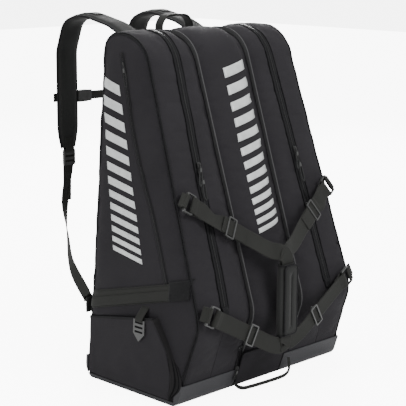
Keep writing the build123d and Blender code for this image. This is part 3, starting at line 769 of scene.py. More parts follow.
def line_on(project, line, per=10):
    """Points and outward ways along a smooth line on the skin."""
    hits = [project(*p) for p in catmull(line, per)]
    hits = [h for h in hits if h[0] is not None]
    return np.array([h[0] for h in hits]), np.array([h[1] for h in hits])


def smooth_run(points, times=2):
    points = np.array(points, float)
    for _ in range(times):
        points[1:-1] = (points[:-2] + 2 * points[1:-1] + points[2:]) / 4
    return points


SKIN_HEART = Vector((0, -0.02, 0.35))


def hug(points, lift):
    """Points of a line brought onto the sewn skin, lift above it."""
    made = []
    for p in points:
        spot, normal, _, _ = skin_tree.find_nearest(Vector(np.array(p) * MM))
        if normal.dot(spot - SKIN_HEART) < 0:
            normal = -normal
        made.append(np.array(spot) / MM + np.array(normal) * lift)
    return np.array(made)


def outline_rows(low_z, rear_low_z):
    """Rows that run up the front from low_z, over the top and down the back to rear_low_z."""
    rows = [(i, False) for i in range(ROWS) if FRONT[i][1] >= low_z]
    rows += [(i, True) for i in range(ROWS - 2, -1, -1) if REAR[i][1] >= rear_low_z]
    return rows


def row_z(row):
    return (REAR if row[1] else FRONT)[row[0]][1]


# ------------------------------------------------------------------ piping on seams and outer edges
for name, side in SIDES:
    seam_rows = outline_rows(50, 50)
    hits = [on_round(side * SEAM_X, i, rear) for i, rear in seam_rows]
    seam_line = smooth_run([h[0] + h[1] * 0.6 for h in hits])
    seam_outs = np.array([h[1] for h in hits])
    seam = sweep_profile(f"{name}_seam_piping", seam_line, seam_outs, round_section(1.9), MAT["trim"])
    place(seam, "bag_body", "shell_fabric")
    for shift in (-6.5, 6.5):
        hits = [on_round(side * SEAM_X + shift, i, rear) for i, rear in seam_rows]
        row = stitches(f"{name}_seam_stitches_{'in' if shift * side < 0 else 'out'}",
                       smooth_run([h[0] for h in hits]), [h[1] for h in hits], MAT["thread"])
        place(row, "bag_body", "shell_fabric")

    edge_rows = outline_rows(46, 46)
    for label, inset, sink, radius in (("front", 2.0, 2.0, 2.1), ("side", 9.0, 3.2, 1.5)):
        line = []
        for i, rear in edge_rows:
            path, out = (REAR, REAR_OUT) if rear else (FRONT, FRONT_OUT)
            y, z = path[i]
            if label == "front":
                x = half_width(z) - inset
                line.append((side * x, y - out[i][0] * sink, z - out[i][1] * sink))
            else:
                x = half_width(z) - 1.2
                line.append((side * x, y - out[i][0] * inset, z - out[i][1] * inset))
        outs = np.tile([side, 0, 0.05], (len(line), 1))
        run = smooth_run(hug(line, 0.6), 2)
        piping = sweep_profile(f"{name}_{label}_edge_piping", run, outs, round_section(radius), MAT["trim"])
        place(piping, name, "shell_fabric")


# ------------------------------------------------------------------ main zips
INNER_LIP = [(-10.5, -0.8), (-9.6, 0.9), (-7.0, 1.5), (-3.9, 1.7), (-3.0, 1.2), (-2.7, -0.2), (-0.6, -0.4),
             (-0.6, -1.6), (-10.5, -1.8)]
TOOTH_PITCH = 2.6


def box_points(centre, along, across, out, size):
    """Eight corners of a small block."""
    made = []
    for k in (-1, 1):
        for j in (-1, 1):
            for i in (-1, 1):
                made.append(centre + along * i * size[0] / 2 + across * j * size[1] / 2 + out * k * size[2] / 2)
    return made


BOX_FACES = [(0, 2, 3, 1), (4, 5, 7, 6), (0, 1, 5, 4), (2, 6, 7, 3), (0, 4, 6, 2), (1, 3, 7, 5)]


def teeth(name, line, outs, side_sign, material, shift, start):
    """Every other coil tooth of a zip, standing across its line."""
    steps = np.linalg.norm(np.diff(line, axis=0), axis=1)
    along = np.concatenate([[0], np.cumsum(steps)])
    points, faces = [], []
    place_at = start
    while place_at < along[-1] - 2:
        centre = np.array([np.interp(place_at, along, line[:, k]) for k in range(3)])
        ahead = np.array([np.interp(place_at + 1, along, line[:, k]) for k in range(3)])
        out = unit(np.array([np.interp(place_at, along, outs[:, k]) for k in range(3)]))
        way = unit(ahead - centre)
        across = np.cross(way, out) * side_sign
        base = len(points)
        points += box_points(centre + across * shift + out * 0.9, way, across, out, (1.3, 3.0, 1.3))
        faces += [tuple(base + k for k in face) for face in BOX_FACES]
        place_at += TOOTH_PITCH
    return new_object(name, points, faces, material, smooth=False)


for name, side in SIDES:
    rows = outline_rows(ZIP_END_Z, ZIP_END_Z)
    hits = [on_round(side * zip_x(row_z(r)), *r) for r in rows]
    zip_line = smooth_run([h[0] + h[1] * 0.4 for h in hits], 3)
    zip_outs = unit(smooth_run([h[1] for h in hits], 3))
    lip = sweep_profile(f"{name}_zip_tape_inner", zip_line, zip_outs, [(u * side, v) for u, v in INNER_LIP], MAT["trim"])
    place(lip, "bag_body", "shell_fabric", f"{name}_main_zip")
    lip = sweep_profile(f"{name}_zip_tape_outer", zip_line, zip_outs, [(-u * side, v) for u, v in INNER_LIP], MAT["trim"])
    place(lip, name, "side_fabric")
    place(teeth(f"{name}_zip_teeth_inner", zip_line, zip_outs, side, MAT["coil"], -0.9, 1.0), "bag_body", "zip_coil")
    place(teeth(f"{name}_zip_teeth_outer", zip_line, zip_outs, side, MAT["coil"], 0.9, 2.3), name, "zip_coil")
    # Near-black tubes along both outer edges of the tapes: painted shade of the gaps where the tapes meet the cloth
    for label, shift, body in (("inner", -10.4, "bag_body"), ("outer", 10.4, name)):
        hits = [on_round(side * (zip_x(row_z(r)) + shift), *r) for r in rows]
        shade = tube(f"{name}_zip_shade_line_{label}", smooth_run([h[0] + h[1] * 0.5 for h in hits]), 1.15, MAT["fold"],
                     smooth_run([h[1] for h in hits]))
        place(shade, body, "shell_fabric")
    for label, shift, body in (("inner", -13.0, "bag_body"), ("outer", 13.0, name)):
        hits = [on_round(side * (zip_x(row_z(r)) + shift), *r) for r in rows]
        row = stitches(f"{name}_zip_stitches_{label}", smooth_run([h[0] for h in hits]), [h[1] for h in hits], MAT["thread"])
        place(row, body, "shell_fabric")
    end_tab = patch(f"{name}_zip_end_tab", [(side * zip_x(193) - 9, 190), (side * zip_x(193) + 9, 190),
                                            (side * zip_x(209) + 9, 209), (side * zip_x(209) - 9, 209)],
                    on_front, (5, 5), 3.2, 2.6, MAT["trim"], 0.4)
    place(end_tab, "bag_body", "shell_fabric")


# ------------------------------------------------------------------ side panels: print, zip, band, pocket
def lerp(a, b, t):
    return a + (b - a) * t


PRINT_BARS = 13


def print_column(name, project, body, top, low, left_edge, right_edge, slant, slot_name):
    """A column of slanted silver bars, taller at the top, each its own small piece of print."""
    bars = []
    heights = [lerp(1.6, 0.75, k / (PRINT_BARS - 1)) for k in range(PRINT_BARS)]
    total = sum(heights)
    z = top
    for k, height in enumerate(heights):
        step = (top - low) * height / total
        upper, lower = z, z - step * 0.56
        share_a, share_b = (top - upper) / (top - low), (top - lower) / (top - low)
        corners = [(lerp(*left_edge, share_b), lower - slant), (lerp(*right_edge, share_b), lower + slant),
                   (lerp(*right_edge, share_a), upper + slant), (lerp(*left_edge, share_a), upper - slant)]
        bar = patch(f"{name}_print_{k + 1}", corners, project, (9, 5), 0.75, 0.6, MAT["print"])
        bars.append(place(bar, body, slot_name))
        z -= step
    return bars


print_column("front", on_front, "bag_body", 690, 335, (-18, -18), (56, 56), 7, "shell_fabric")
SIDE_ZIP = [(47, 724), (28, 650), (10, 574), (-17, 496), (-38, 445), (-60, 395), (-85, 325), (-108, 257)]
LIP_PROFILE = [(-6.0, -0.8), (-5.4, 0.7), (-3.6, 1.2), (-1.9, 1.1), (-1.3, -0.2), (1.3, -0.2), (1.9, 1.1),
               (3.6, 1.2), (5.4, 0.7), (6.0, -0.8)]
BAND = [(131, 157), (-168, 234), (-168, 272), (131, 197)]

for name, side in SIDES:
    project = on_side(side)
    print_column(name, project, name, 662, 285, (113, 58), (53, -36), -8, "side_fabric")

    line, outs = line_on(project, SIDE_ZIP)
    side_zip = sweep_profile(f"{name}_side_zip", smooth_run(line), outs, LIP_PROFILE, MAT["trim"])
    place(side_zip, name, "side_fabric")
    for shift in (-9, 9):
        line, outs = line_on(project, [(y + shift, z) for y, z in SIDE_ZIP])
        row = stitches(f"{name}_side_zip_stitches_{'front' if shift < 0 else 'rear'}", smooth_run(line), outs, MAT["thread"])
        place(row, name, "side_fabric")
    line, outs = line_on(project, SIDE_ZIP)
    place(teeth(f"{name}_side_zip_teeth", smooth_run(line), outs, side, MAT["coil"], 0, 2), name, "zip_coil")

    # Sewn band: a wide strap, a narrower one over its lower half, and a hook-and-loop end
    band = patch(f"{name}_side_strap", BAND, project, (50, 8), 1.9, 1.8, MAT["webbing"], 0.3)
    place(band, "bag_body", "webbing", f"{name}_side_band")
    over = patch(f"{name}_side_strap_over", [(131, 160), (-126, 227), (-126, 248), (131, 182)], project, (44, 5), 3.3,
                 1.6, MAT["webbing"], 0.2)
    place(over, "bag_body", "webbing")
    loop_end = patch(f"{name}_hook_loop_end", [(-118, 222), (-172, 234), (-172, 277), (-118, 264)], project, (12, 10),
                     3.4, 1.7, MAT["mesh"], 0.5)
    place(loop_end, "bag_body", "webbing")
    for label, low in (("low", 159.5), ("high", 194.5)):
        line, outs = line_on(project, [(129, low), (-20, low + 38), (-118, low + 63)])
        row = stitches(f"{name}_band_stitches_{label}", line + outs * 2.1, outs, MAT["thread"])
        place(row, "bag_body", "webbing")

# ------------------------------------------------------------------ side pockets
POCKET_REAR, POCKET_FRONT, POCKET_FOOT, POCKET_MOUTH = 4.0, 23.0, 6.5, 17.5
PANEL_EDGE = [(-126, 13), (-137, 62), (-125, 119), (-84, 178)]
POCKET_TOP = [(131, 137), (-62, 174), (-84, 178)]


def pocket_stand(y, z):
    """How far the pocket's panel stands off the side panel, in mm."""
    towards_front = (131 - y) / 281
    lean = lerp(POCKET_REAR, POCKET_FRONT, towards_front)
    return min(lean, lerp(POCKET_FOOT, POCKET_MOUTH, min(1.0, z / 180)) + 0.2)


def pocket_point(side, y, z, share=1.0, extra=0.0):
    """Point of the pocket: share 0 on the side panel, 1 on the pocket's panel."""
    stand = pocket_stand(y, z) * share + extra
    return np.array([side * (half_width(z) + stand), y, z])


def front_edge_y(z):
    zs = [p[1] for p in PANEL_EDGE]
    return float(np.interp(z, zs, [p[0] for p in PANEL_EDGE]))


def top_z(y):
    ys = [p[0] for p in POCKET_TOP[::-1]]
    return float(np.interp(y, ys, [p[1] for p in POCKET_TOP[::-1]]))


PANEL_COLUMNS, PANEL_ROWS = 30, 22
for name, side in SIDES:
    points = []
    for i in range(PANEL_ROWS):
        v = i / (PANEL_ROWS - 1)
        for j in range(PANEL_COLUMNS):
            u = j / (PANEL_COLUMNS - 1)
            z = lerp(13, top_z(lerp(130, lerp(-126, -84, v), u)), v)
            y = lerp(130, front_edge_y(z), u)
            sag = 1.5 * math.sin(math.pi * u) * v ** 2
            rough = 0.8 * noise.noise(Vector((y * 0.03, z * 0.03, side * 3.0)))
            points.append(pocket_point(side, y, z, 1, rough - sag * 0.4))
    panel = new_object(f"{name}_pocket_panel", points, grid_faces(PANEL_ROWS, PANEL_COLUMNS, flip=side < 0), MAT["front"])
    solid = panel.modifiers.new("thickness", "SOLIDIFY")
    solid.thickness = 2.2 * MM
    solid.offset = -1
    soft = panel.modifiers.new("soften", "SUBSURF")
    soft.levels = soft.render_levels = 1
    place(panel, "bag_body", "shell_fabric", f"{name}_side_pocket")

    # Bellows: two folds between the panel's front edge and the bag
    edge = catmull([(y, z) for y, z in PANEL_EDGE], 8)
    outer_line = catmull([(-128, 12), (-158, 50), (-128, 119), (-85, 181)], 8)
    points = []
    for (y0, z0), (y1, z1) in zip(edge, outer_line):
        for share in np.linspace(0, 1, 9):
            y, z = lerp(y0, y1, share), lerp(z0, z1, share)
            fold = 3.0 * math.sin(share * 2 * math.pi * 1.5) * (1 - share) * min(1.0, z / 60)
            points.append(pocket_point(side, y, z, 1 - share, fold + 0.6))
    # The bellows take the darker copy of the front cloth: painted shade in the recess
    bellows = new_object(f"{name}_pocket_bellows", points, grid_faces(len(edge), 9, flip=side < 0), MAT["side"])
    solid = bellows.modifiers.new("thickness", "SOLIDIFY")
    solid.thickness = 1.6 * MM
    solid.offset = -1
    place(bellows, "bag_body", "shell_fabric")
    fold_line = [pocket_point(side, y, z, 1, 0.3) for y, z in edge]
    place(tube(f"{name}_pocket_edge_piping", fold_line, 1.7, MAT["trim"]), "bag_body", "shell_fabric")
    # Near-black tubes along the two bellows creases: painted shade in the folds
    for count, share in enumerate((0.42, 0.8)):
        crease = [pocket_point(side, lerp(a[0], b[0], share), lerp(a[1], b[1], share), 1 - share, 2.2)
                  for a, b in zip(edge, outer_line)]
        place(tube(f"{name}_pocket_crease_shade_{count + 1}", crease, 1.2, MAT["fold"]), "bag_body", "shell_fabric")
    mouth = [pocket_point(side, y, top_z(y) + 3.5, 0.86, -1.0) for y in np.linspace(128, -28, 30)]
    place(tube(f"{name}_pocket_mouth_shade", mouth, 2.2, MAT["fold"], np.tile([side, 0, 0], (30, 1))), "bag_body",
          "shell_fabric")
    hem = [pocket_point(side, y, top_z(y), 1, -0.6) for y in np.linspace(131, -84, 40)]
    hem_outs = np.tile([side, 0, 0.2], (len(hem), 1))
    place(sweep_profile(f"{name}_pocket_hem", hem, hem_outs, oval_section(7, 3.6), MAT["trim"]), "bag_body",
          "shell_fabric")
    row = [pocket_point(side, y, top_z(y) - 9, 1, 0.2) for y in np.linspace(126, -80, 40)]
    place(stitches(f"{name}_pocket_hem_stitches", row, hem_outs, MAT["thread"]), "bag_body", "shell_fabric")
    row = [pocket_point(side, y + 5, z, 1, 0.3) for y, z in edge]
    place(stitches(f"{name}_pocket_edge_stitches", row, np.tile([side, 0, 0], (len(row), 1)), MAT["thread"]),
          "bag_body", "shell_fabric")

    # Tab of the hook buckle
    lean = math.atan(SIDE_LEAN)
    out = np.array([side * math.cos(lean), 0, math.sin(lean)])
    up = np.array([-side * math.sin(lean), 0, math.cos(lean)])
    foot = np.array([side * HALF_WIDTH, 0, 0])

    def on_panel(y, z, height):
        return foot + np.array([0, y, 0]) + up * z + out * height

    tab = ribbon(f"{name}_hook_tab", [(on_panel(-46, 202, 2.8), out), (on_panel(-46, 193, 6), out + up * 0.6),
                                      (on_panel(-46, 178, 19.0), out + up), (on_panel(-46, 168.5, 23.6), out),
                                      (on_panel(-46, 165.5, 21), -up), (on_panel(-46, 169.5, 18.4), -out),
                                      (on_panel(-46, 177, 15.5), -out - up)], 22, MAT["webbing"], 1.5)
    place(tab, "bag_body", "webbing", f"{name}_buckle_tab")

# ------------------------------------------------------------------ carrying handle
FRONT_FACE = np.array([0, -1, 0.327])
FORWARD = np.array([0, -1, 0])
UPPER_RINGS = {"left": (-205, -141, 421), "right": (212, -149, 404)}
UPPER_KNEES = {"left": (-50, -177, 322), "right": (80, -192, 335)}
LOWER_RINGS = {"left": (-210, -213, 197), "right": (208, -213, 203)}
LOWER_KNEES = {"left": (-45, -225.6, 106), "right": (45, -223.5, 112)}
UPPER_TAB_ENDS = {"left": (-231, -130, 438), "right": (236.5, -136.6, 415.4)}
LOWER_TAB_ENDS = {"left": (-242, -204, 213), "right": (240.5, -205, 222)}
UPPER_GLIDES = {"left": 0.58, "right": 0.55}
GRIP_X, GRIP_Y = -8, -226
GRIP_LOW, GRIP_HIGH = 122, 279
RUN_Y = {"left": GRIP_Y - 2.5, "right": GRIP_Y + 2.5}
RING_DEPTH = 20
WEBBING_WIDTH = 36


def eye_stations(bar, along, face, reach=30):
    """Stations of webbing that comes back under itself, round a ring's bar, and out over it."""
    bar = np.array(bar, float)
    out = unit(face - along * (face @ along))
    return [(bar + along * reach - out * 2.5, -out), (bar + along * (reach * 0.45) - out * 3.2, -out),
            (bar + along * 1.5 - out * 4.7, -out - along * 0.3), (bar - along * 4.6, -along),
            (bar + along * 1.5 + out * 4.7, out - along * 0.3), (bar + along * (reach * 0.45) + out * 1.4, out),
            (bar + along * reach, out)], out


for name, side in SIDES:
    ring, knee = np.array(UPPER_RINGS[name], float), np.array(UPPER_KNEES[name], float)
    along = unit(knee - ring)
    stations, out = eye_stations(ring, along, FRONT_FACE)
    span = np.linalg.norm(knee - ring)
    glide = ring + along * span * UPPER_GLIDES[name]
    side_way = np.cross(along, out)
    for share, sag, turn in ((0.33, 5.0, 20), (0.44, 6.0, 24)):
        if share < UPPER_GLIDES[name] - 0.15:
            turned = out * math.cos(math.radians(turn)) + side_way * side * math.sin(math.radians(turn))
            stations.append((ring + along * span * share + out * 1.0 - np.array([0, 0, sag]), turned))
    top_end = np.array([GRIP_X, RUN_Y[name], 300])
    bend = lerp(knee, lerp(glide, top_end, 0.3), 0.4)
    stations += [(glide - along * 16, out), (glide + along * 14, out), (bend, out + FORWARD * 0.2)]
    stations += [(lerp(bend, top_end, 0.5) - np.array([0, 0, 5]), FORWARD + FRONT_FACE * 1.4),
                 (lerp(bend, top_end, 0.85) - np.array([0, 0, 1]), FORWARD + FRONT_FACE * 0.6),
                 ((GRIP_X, RUN_Y[name], 290), FORWARD), ((GRIP_X, RUN_Y[name], 266), FORWARD)]
    upper = ribbon(f"{name}_upper_handle_strap", stations, WEBBING_WIDTH, MAT["webbing"])
    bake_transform(upper)
    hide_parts(f"{name}_handle_webbing")

    loose = ribbon(f"{name}_upper_strap_tail", [(glide - along * 24 + out * 3.4, out), (glide + out * 1.0, out),
                                                (glide + along * 26 + out * 3.2, out),
                                                (glide + along * 52 + out * 2.6, out)], WEBBING_WIDTH - 1,
                   MAT["webbing"], 1.8)
    place(loose, f"{name}_upper_glide", "webbing")

    ring, knee = np.array(LOWER_RINGS[name], float), np.array(LOWER_KNEES[name], float)
    along = unit(knee - ring)
    stations, out = eye_stations(ring, along, FORWARD)
    middle = lerp(ring, knee, 0.6)
    stations += [(middle, out), (lerp(ring, knee, 0.93), out)]
    turn = lerp(knee, np.array([GRIP_X, RUN_Y[name], 96.0]), 0.75)
    stations += [(lerp(turn, knee, 0.4), FORWARD), (turn + (0, 0, 6), FORWARD), ((GRIP_X, RUN_Y[name], 118), FORWARD),
                 ((GRIP_X, RUN_Y[name], 272), FORWARD)]
    lower = ribbon(f"{name}_lower_handle_strap", stations, WEBBING_WIDTH, MAT["webbing"])
    place(lower, "bag_body", "webbing")

    # Tabs that tie the rings to the outer edges
    for level, bars, knees, ends, face, body in (
            ("upper", UPPER_RINGS, UPPER_KNEES, UPPER_TAB_ENDS, FRONT_FACE, f"{name}_cover"),
            ("lower", LOWER_RINGS, LOWER_KNEES, LOWER_TAB_ENDS, FORWARD, "bag_body")):
        bar = np.array(bars[name], float)
        along = unit(np.array(knees[name], float) - bar)
        tab_bar = bar - along * RING_DEPTH
        end = np.array(ends[name], float)
        back = unit(end - tab_bar)
        reach = np.linalg.norm(end - tab_bar)
        stations, out = eye_stations(tab_bar, back, face, reach * 0.8)
        stations.append((end, out + back * 0.2))
        tab = ribbon(f"{name}_{level}_ring_loop", stations, WEBBING_WIDTH - 4, MAT["webbing"], 1.9)
        replaced = [f"{name}_upper_ring_tab"] if level == "upper" else (["lower_ring_tabs"] if side > 0 else [])
        place(tab, body, "webbing", *replaced)

# Grip: padded sleeve with a bound flap that closes over it
grip_line = [(GRIP_X, GRIP_Y, z) for z in np.linspace(GRIP_LOW, GRIP_HIGH, 18)]
grip_outs = np.tile(FORWARD, (len(grip_line), 1))


def grip_section(share):
    swell = 1 - 0.16 * abs(2 * share - 1) ** 4
    return oval_section(49 * swell, 20.5 * swell, 3.2, 28)


sleeve = sweep_profile("grip_sleeve", grip_line, grip_outs, grip_section, MAT["strap"])
place(sleeve, "bag_body", "strap_fabric", "handle_grip")
for label, z in (("top", GRIP_HIGH - 1), ("low", GRIP_LOW + 1)):
    rim = [np.array([GRIP_X + u, GRIP_Y - v, z]) for u, v in oval_section(42.5, 18.6, 3.2, 28)]
    rim.append(rim[0])
    place(tube(f"grip_rim_{label}", rim, 1.6, MAT["trim"]), "bag_body", "strap_fabric")

FLAP_MIDDLE = GRIP_X + 3
FLAP_FRONT = GRIP_Y - 20.5 / 2 - 1.2


def rounded_box(width, height, radius, per=6):
    """Points round a rectangle with rounded corners, centred on the origin."""
    made = []
    for cx, cy, first in ((1, 1, 0), (-1, 1, 90), (-1, -1, 180), (1, -1, 270)):
        for k in range(per + 1):
            turn = math.radians(first + 90 * k / per)
            made.append((cx * (width / 2 - radius) + radius * math.cos(turn),
                         cy * (height / 2 - radius) + radius * math.sin(turn)))
    return made


flap_outline = rounded_box(39, GRIP_HIGH - GRIP_LOW - 5, 8)
rings_of_points = []
for shrink, rise in ((1.0, 0.2), (0.97, 1.6), (0.85, 2.0), (0.5, 2.5), (0.05, 2.7)):
    rings_of_points += [(FLAP_MIDDLE + u * shrink, FLAP_FRONT - rise + 0.6,
                         (GRIP_LOW + GRIP_HIGH) / 2 + v * (1 - (1 - shrink) * 0.28)) for u, v in flap_outline]
flap = new_object("grip_cover_flap", rings_of_points, grid_faces(5, len(flap_outline), wrap=True), MAT["strap"])
solid = flap.modifiers.new("thickness", "SOLIDIFY")
solid.thickness = 1.4 * MM
place(flap, "grip_flap", "strap_fabric", "grip_flap")
binding = [(FLAP_MIDDLE + u, FLAP_FRONT - 0.6, (GRIP_LOW + GRIP_HIGH) / 2 + v) for u, v in flap_outline]
binding.append(binding[0])
place(tube("grip_flap_binding", binding, 1.7, MAT["trim"]), "grip_flap", "strap_fabric")
inner = [(FLAP_MIDDLE + u * 0.82, FLAP_FRONT - 1.5, (GRIP_LOW + GRIP_HIGH) / 2 + v * 0.955) for u, v in flap_outline]
place(stitches("grip_flap_stitches", inner, np.tile(FORWARD, (len(inner), 1)), MAT["thread"]), "grip_flap", "strap_fabric")

# ------------------------------------------------------------------ shoulder straps
STRAP_X = 105
STRAP_WIDTH = 60
STRAP_POINTS = [(124, 735), (200, 768), (285, 786), (352, 772), (379, 700), (379, 470)]
STRAP_RADII = [80, 90, 45, 60]
LOCK_Y, LOCK_Z = 379, 448
STERNUM_Z = 590
strap_path = resample(filleted(STRAP_POINTS, STRAP_RADII, 14), 90)
strap_steps = unit(np.gradient(strap_path, axis=0))
strap_out = np.stack([-strap_steps[:, 1], strap_steps[:, 0]], 1)


def strap_line(x, lift=0.0, first=0, last=None):
    """Points along the strap at a distance from the bag's middle, lift above its outer face's middle."""
    flat = strap_path + strap_out * lift
    return np.array([(x, y, z) for y, z in flat[first:last]])


def strap_ways(first=0, last=None):
    return np.array([(0, o[0], o[1]) for o in strap_out[first:last]])


def strap_half(share):
    """Half the strap's width: it narrows towards the ladder lock."""
    return (STRAP_WIDTH / 2 - 0.5) * (1 - 0.34 * max(0.0, (share - 0.9) / 0.1) ** 1.6)


def pad_section(share):
    """Foam pad between two bound edges, fuller in the middle of its width."""
    ends = 1 - 0.35 * max(0.0, 2 * abs(share - 0.5) - 0.9) / 0.1
    w, h = strap_half(share), 6.2 * ends
    return [(-w, -1), (-w, 1), (-w + 4, 2.4), (-w + 8, h * 0.92), (-w * 0.4, h), (0, h * 0.96), (w * 0.4, h),
            (w - 8, h * 0.92), (w - 4, 2.4), (w, 1), (w, -1), (w - 4, -2.4), (w - 8, -h * 0.92), (w * 0.4, -h),
            (0, -h), (-w * 0.4, -h), (-w + 8, -h * 0.92), (-w + 4, -2.4)]


for name, side in SIDES:
    x = side * STRAP_X
    pad = sweep_profile(f"{name}_strap_pad", strap_line(x), strap_ways(), pad_section, MAT["strap"])
    soft = pad.modifiers.new("soften", "SUBSURF")
    soft.levels = soft.render_levels = 1
    place(pad, "bag_body", "strap_fabric", f"{name}_shoulder_strap")
    for label, shift in (("inner", -1), ("outer", 1)):
        edge = strap_line(x)
        edge[:, 0] += [side * shift * (strap_half(i / 89) - 0.7) for i in range(90)]
        binding = sweep_profile(f"{name}_strap_binding_{label}", edge, strap_ways(), oval_section(4.2, 5.0, 2.2, 10),
                                MAT["trim"])
        place(binding, "bag_body", "strap_fabric")
        row = strap_line(x, 4.2)
        row[:, 0] += [side * shift * (strap_half(i / 89) - 6.5) for i in range(90)]
        row = row[2:-2]
        place(stitches(f"{name}_strap_stitches_{label}", row, strap_ways(2, -2), MAT["thread"]), "bag_body",
              "strap_fabric")
    centre = sweep_profile(f"{name}_strap_centre_webbing", strap_line(x, 7.0, 24, -1), strap_ways(24, -1),
                           flat_section(25, 1.8), MAT["webbing"])
    place(centre, "bag_body", "webbing")
    for count, index in enumerate((52, 62, 78)):
        middle = strap_line(x, 7.6)[index]
        way = strap_ways()[index]
        keeper = ribbon(f"{name}_strap_keeper_{count + 1}",
                        [(middle + (-15, 0, 0) - way * 1.2, way), (middle + (-12, 0, 0) + way * 1.2, way),
                         (middle + way * 1.9, way), (middle + (12, 0, 0) + way * 1.2, way),
                         (middle + (15, 0, 0) - way * 1.2, way)], 12, MAT["webbing"], 1.4)
        place(keeper, "bag_body", "webbing")

    # Adjusting webbing from the ladder lock down to the triangular tab
    lock = np.array([x, LOCK_Y, LOCK_Z])
    down = [((x, LOCK_Y - 3, LOCK_Z + 14), (0, 1, 0)), ((x, LOCK_Y - 4.5, LOCK_Z - 8), (0, 1, 0)),
            ((x + side * 1, LOCK_Y - 4, LOCK_Z - 26), (0, 1, 0.1)), ((x + side * 10, 373, 385), (0, 1, 0.2)),
            ((side * 131, 363, 330), (0, 1, 0.4)), ((side * 165, 312, 272), (0, 1, 0.7)),
            ((side * 205, 250, 223), (0, 1, 0.7)), ((side * 236, 163, 178), (0, 1, 0.7)),
            ((side * 238, 157, 174), (0, 1, 0.4))]
    place(ribbon(f"{name}_strap_adjuster", down, 24, MAT["webbing"], 1.7), "bag_body", "webbing",
          f"{name}_strap_webbing")
    joining = [((x, LOCK_Y + 5.5, 496), (0, 1, 0)), ((x, LOCK_Y + 5.0, 476), (0, 1, 0)),
               ((x, LOCK_Y + 1.0, LOCK_Z + 18), (0, 1, 0.2)), ((x, LOCK_Y - 3, LOCK_Z + 10), (0, 0.7, -0.7)),
               ((x, LOCK_Y - 7.5, LOCK_Z + 16), (0, -1, 0)), ((x, LOCK_Y - 7, 478), (0, -1, 0)),
               ((x, LOCK_Y - 6.6, 496), (0, -1, 0))]
    place(ribbon(f"{name}_strap_lock_loop", joining, 25, MAT["webbing"], 1.7), "bag_body", "webbing")
    free_end = [((x, LOCK_Y + 1.5, LOCK_Z + 4), (0, 1, 0)), ((x, LOCK_Y + 4.5, LOCK_Z - 14), (0, 1, 0.2)),
                ((x + side * 1, LOCK_Y + 3.6, LOCK_Z - 60), (0, 1, 0)), ((x + side * 3, LOCK_Y + 2.2, LOCK_Z - 104), (0, 1, 0))]
    place(ribbon(f"{name}_strap_free_end", free_end, 24, MAT["webbing"], 1.6), "bag_body", "webbing")
    tab_x = side * 236
    wing = []
    for i in range(9):
        v = i / 8
        for j in range(9):
            u = j / 8
            low, high = lerp(142, 142, u), lerp(182, 174, u)
            across = lerp(-22, 10, u) + (1 - v) * lerp(18, 0, u)
            wing.append((tab_x + side * across, 151.6 + 1.6 * math.sin(math.pi * u) * math.sin(math.pi * v),
                         lerp(low, high, v) + (0 if u > 0.5 else 0)))
    tab = new_object(f"{name}_strap_base_tab", wing, grid_faces(9, 9, flip=side < 0), MAT["strap"])
    solid = tab.modifiers.new("thickness", "SOLIDIFY")
    solid.thickness = 4.0 * MM
    solid.offset = 0
    place(tab, "bag_body", "strap_fabric", *(["strap_anchor_tabs"] if side > 0 else []))

# Sternum strap
socket_high = -STRAP_X + STRAP_WIDTH / 2 + 29
over_y = LOCK_Y + 13 / 2 + 2.6
sternum = ribbon("sternum_strap", [((socket_high + 11, LOCK_Y, STERNUM_Z), (0, 1, 0)),
                                   ((socket_high + 24, LOCK_Y + 0.6, STERNUM_Z - 0.5), (0, 1, 0)),
                                   ((20, LOCK_Y + 5, STERNUM_Z - 1.5), (0, 1, 0)),
                                   ((62, over_y, STERNUM_Z), (0, 1, 0)), ((105, over_y + 0.6, STERNUM_Z), (0, 1, 0)),
                                   ((138, over_y - 1, STERNUM_Z), (0, 1, 0))], 20, MAT["webbing"], 1.7)
place(sternum, "sternum_plug", "webbing", "sternum_webbing")
keeper = ribbon("sternum_socket_loop", [((-STRAP_X - 34, LOCK_Y + 8.4, STERNUM_Z), (0, 1, 0)),
                                        ((-STRAP_X, LOCK_Y + 9.4, STERNUM_Z), (0, 1, 0)),
                                        ((-STRAP_X + 28, LOCK_Y + 7.5, STERNUM_Z), (0, 1, 0)),
                                        ((-STRAP_X + 34, LOCK_Y + 2.5, STERNUM_Z), (0.7, 1, 0))], 20, MAT["webbing"], 1.7)
place(keeper, "bag_body", "webbing")

# Haul loop: two layers of webbing with sewn feet
arch = [((-47, 126, 752), (-1, 0, 0)), ((-45, 126, 772), (-1, 0, 0.2)), ((-30, 126, 788.5), (-0.5, 0, 1)),
        ((0, 126, 791), (0, 0, 1)), ((30, 126, 788.5), (0.5, 0, 1)), ((45, 126, 772), (1, 0, 0.2)),
        ((47, 126, 752), (1, 0, 0))]
place(ribbon("haul_loop_webbing", arch, 25, MAT["webbing"], 2.2, 10), "haul_loop", "webbing", "haul_loop")
inner_arch = [(np.array(p) * (0.965, 1, 1) - np.array([0, 0, 3.0]) * w[2], w) for p, w in arch]
place(ribbon("haul_loop_lining", inner_arch, 21, MAT["strap"], 1.8, 10), "haul_loop", "webbing")

# ------------------------------------------------------------------ back pad of quilted air mesh
PAD_HALF, PAD_LOW, PAD_HIGH, PAD_DEPTH = 117, 70, 640, 16.5
rear_rows = [i for i in range(ROWS) if PAD_LOW <= REAR[i][1] <= PAD_HIGH]
rear_path = resample(REAR[rear_rows], 110)
rear_out = outward(rear_path, -1)
PAD_COLUMNS = 60


def channel(value, places, width):
    return min(1.0, min(abs(value - p) for p in places) / width)


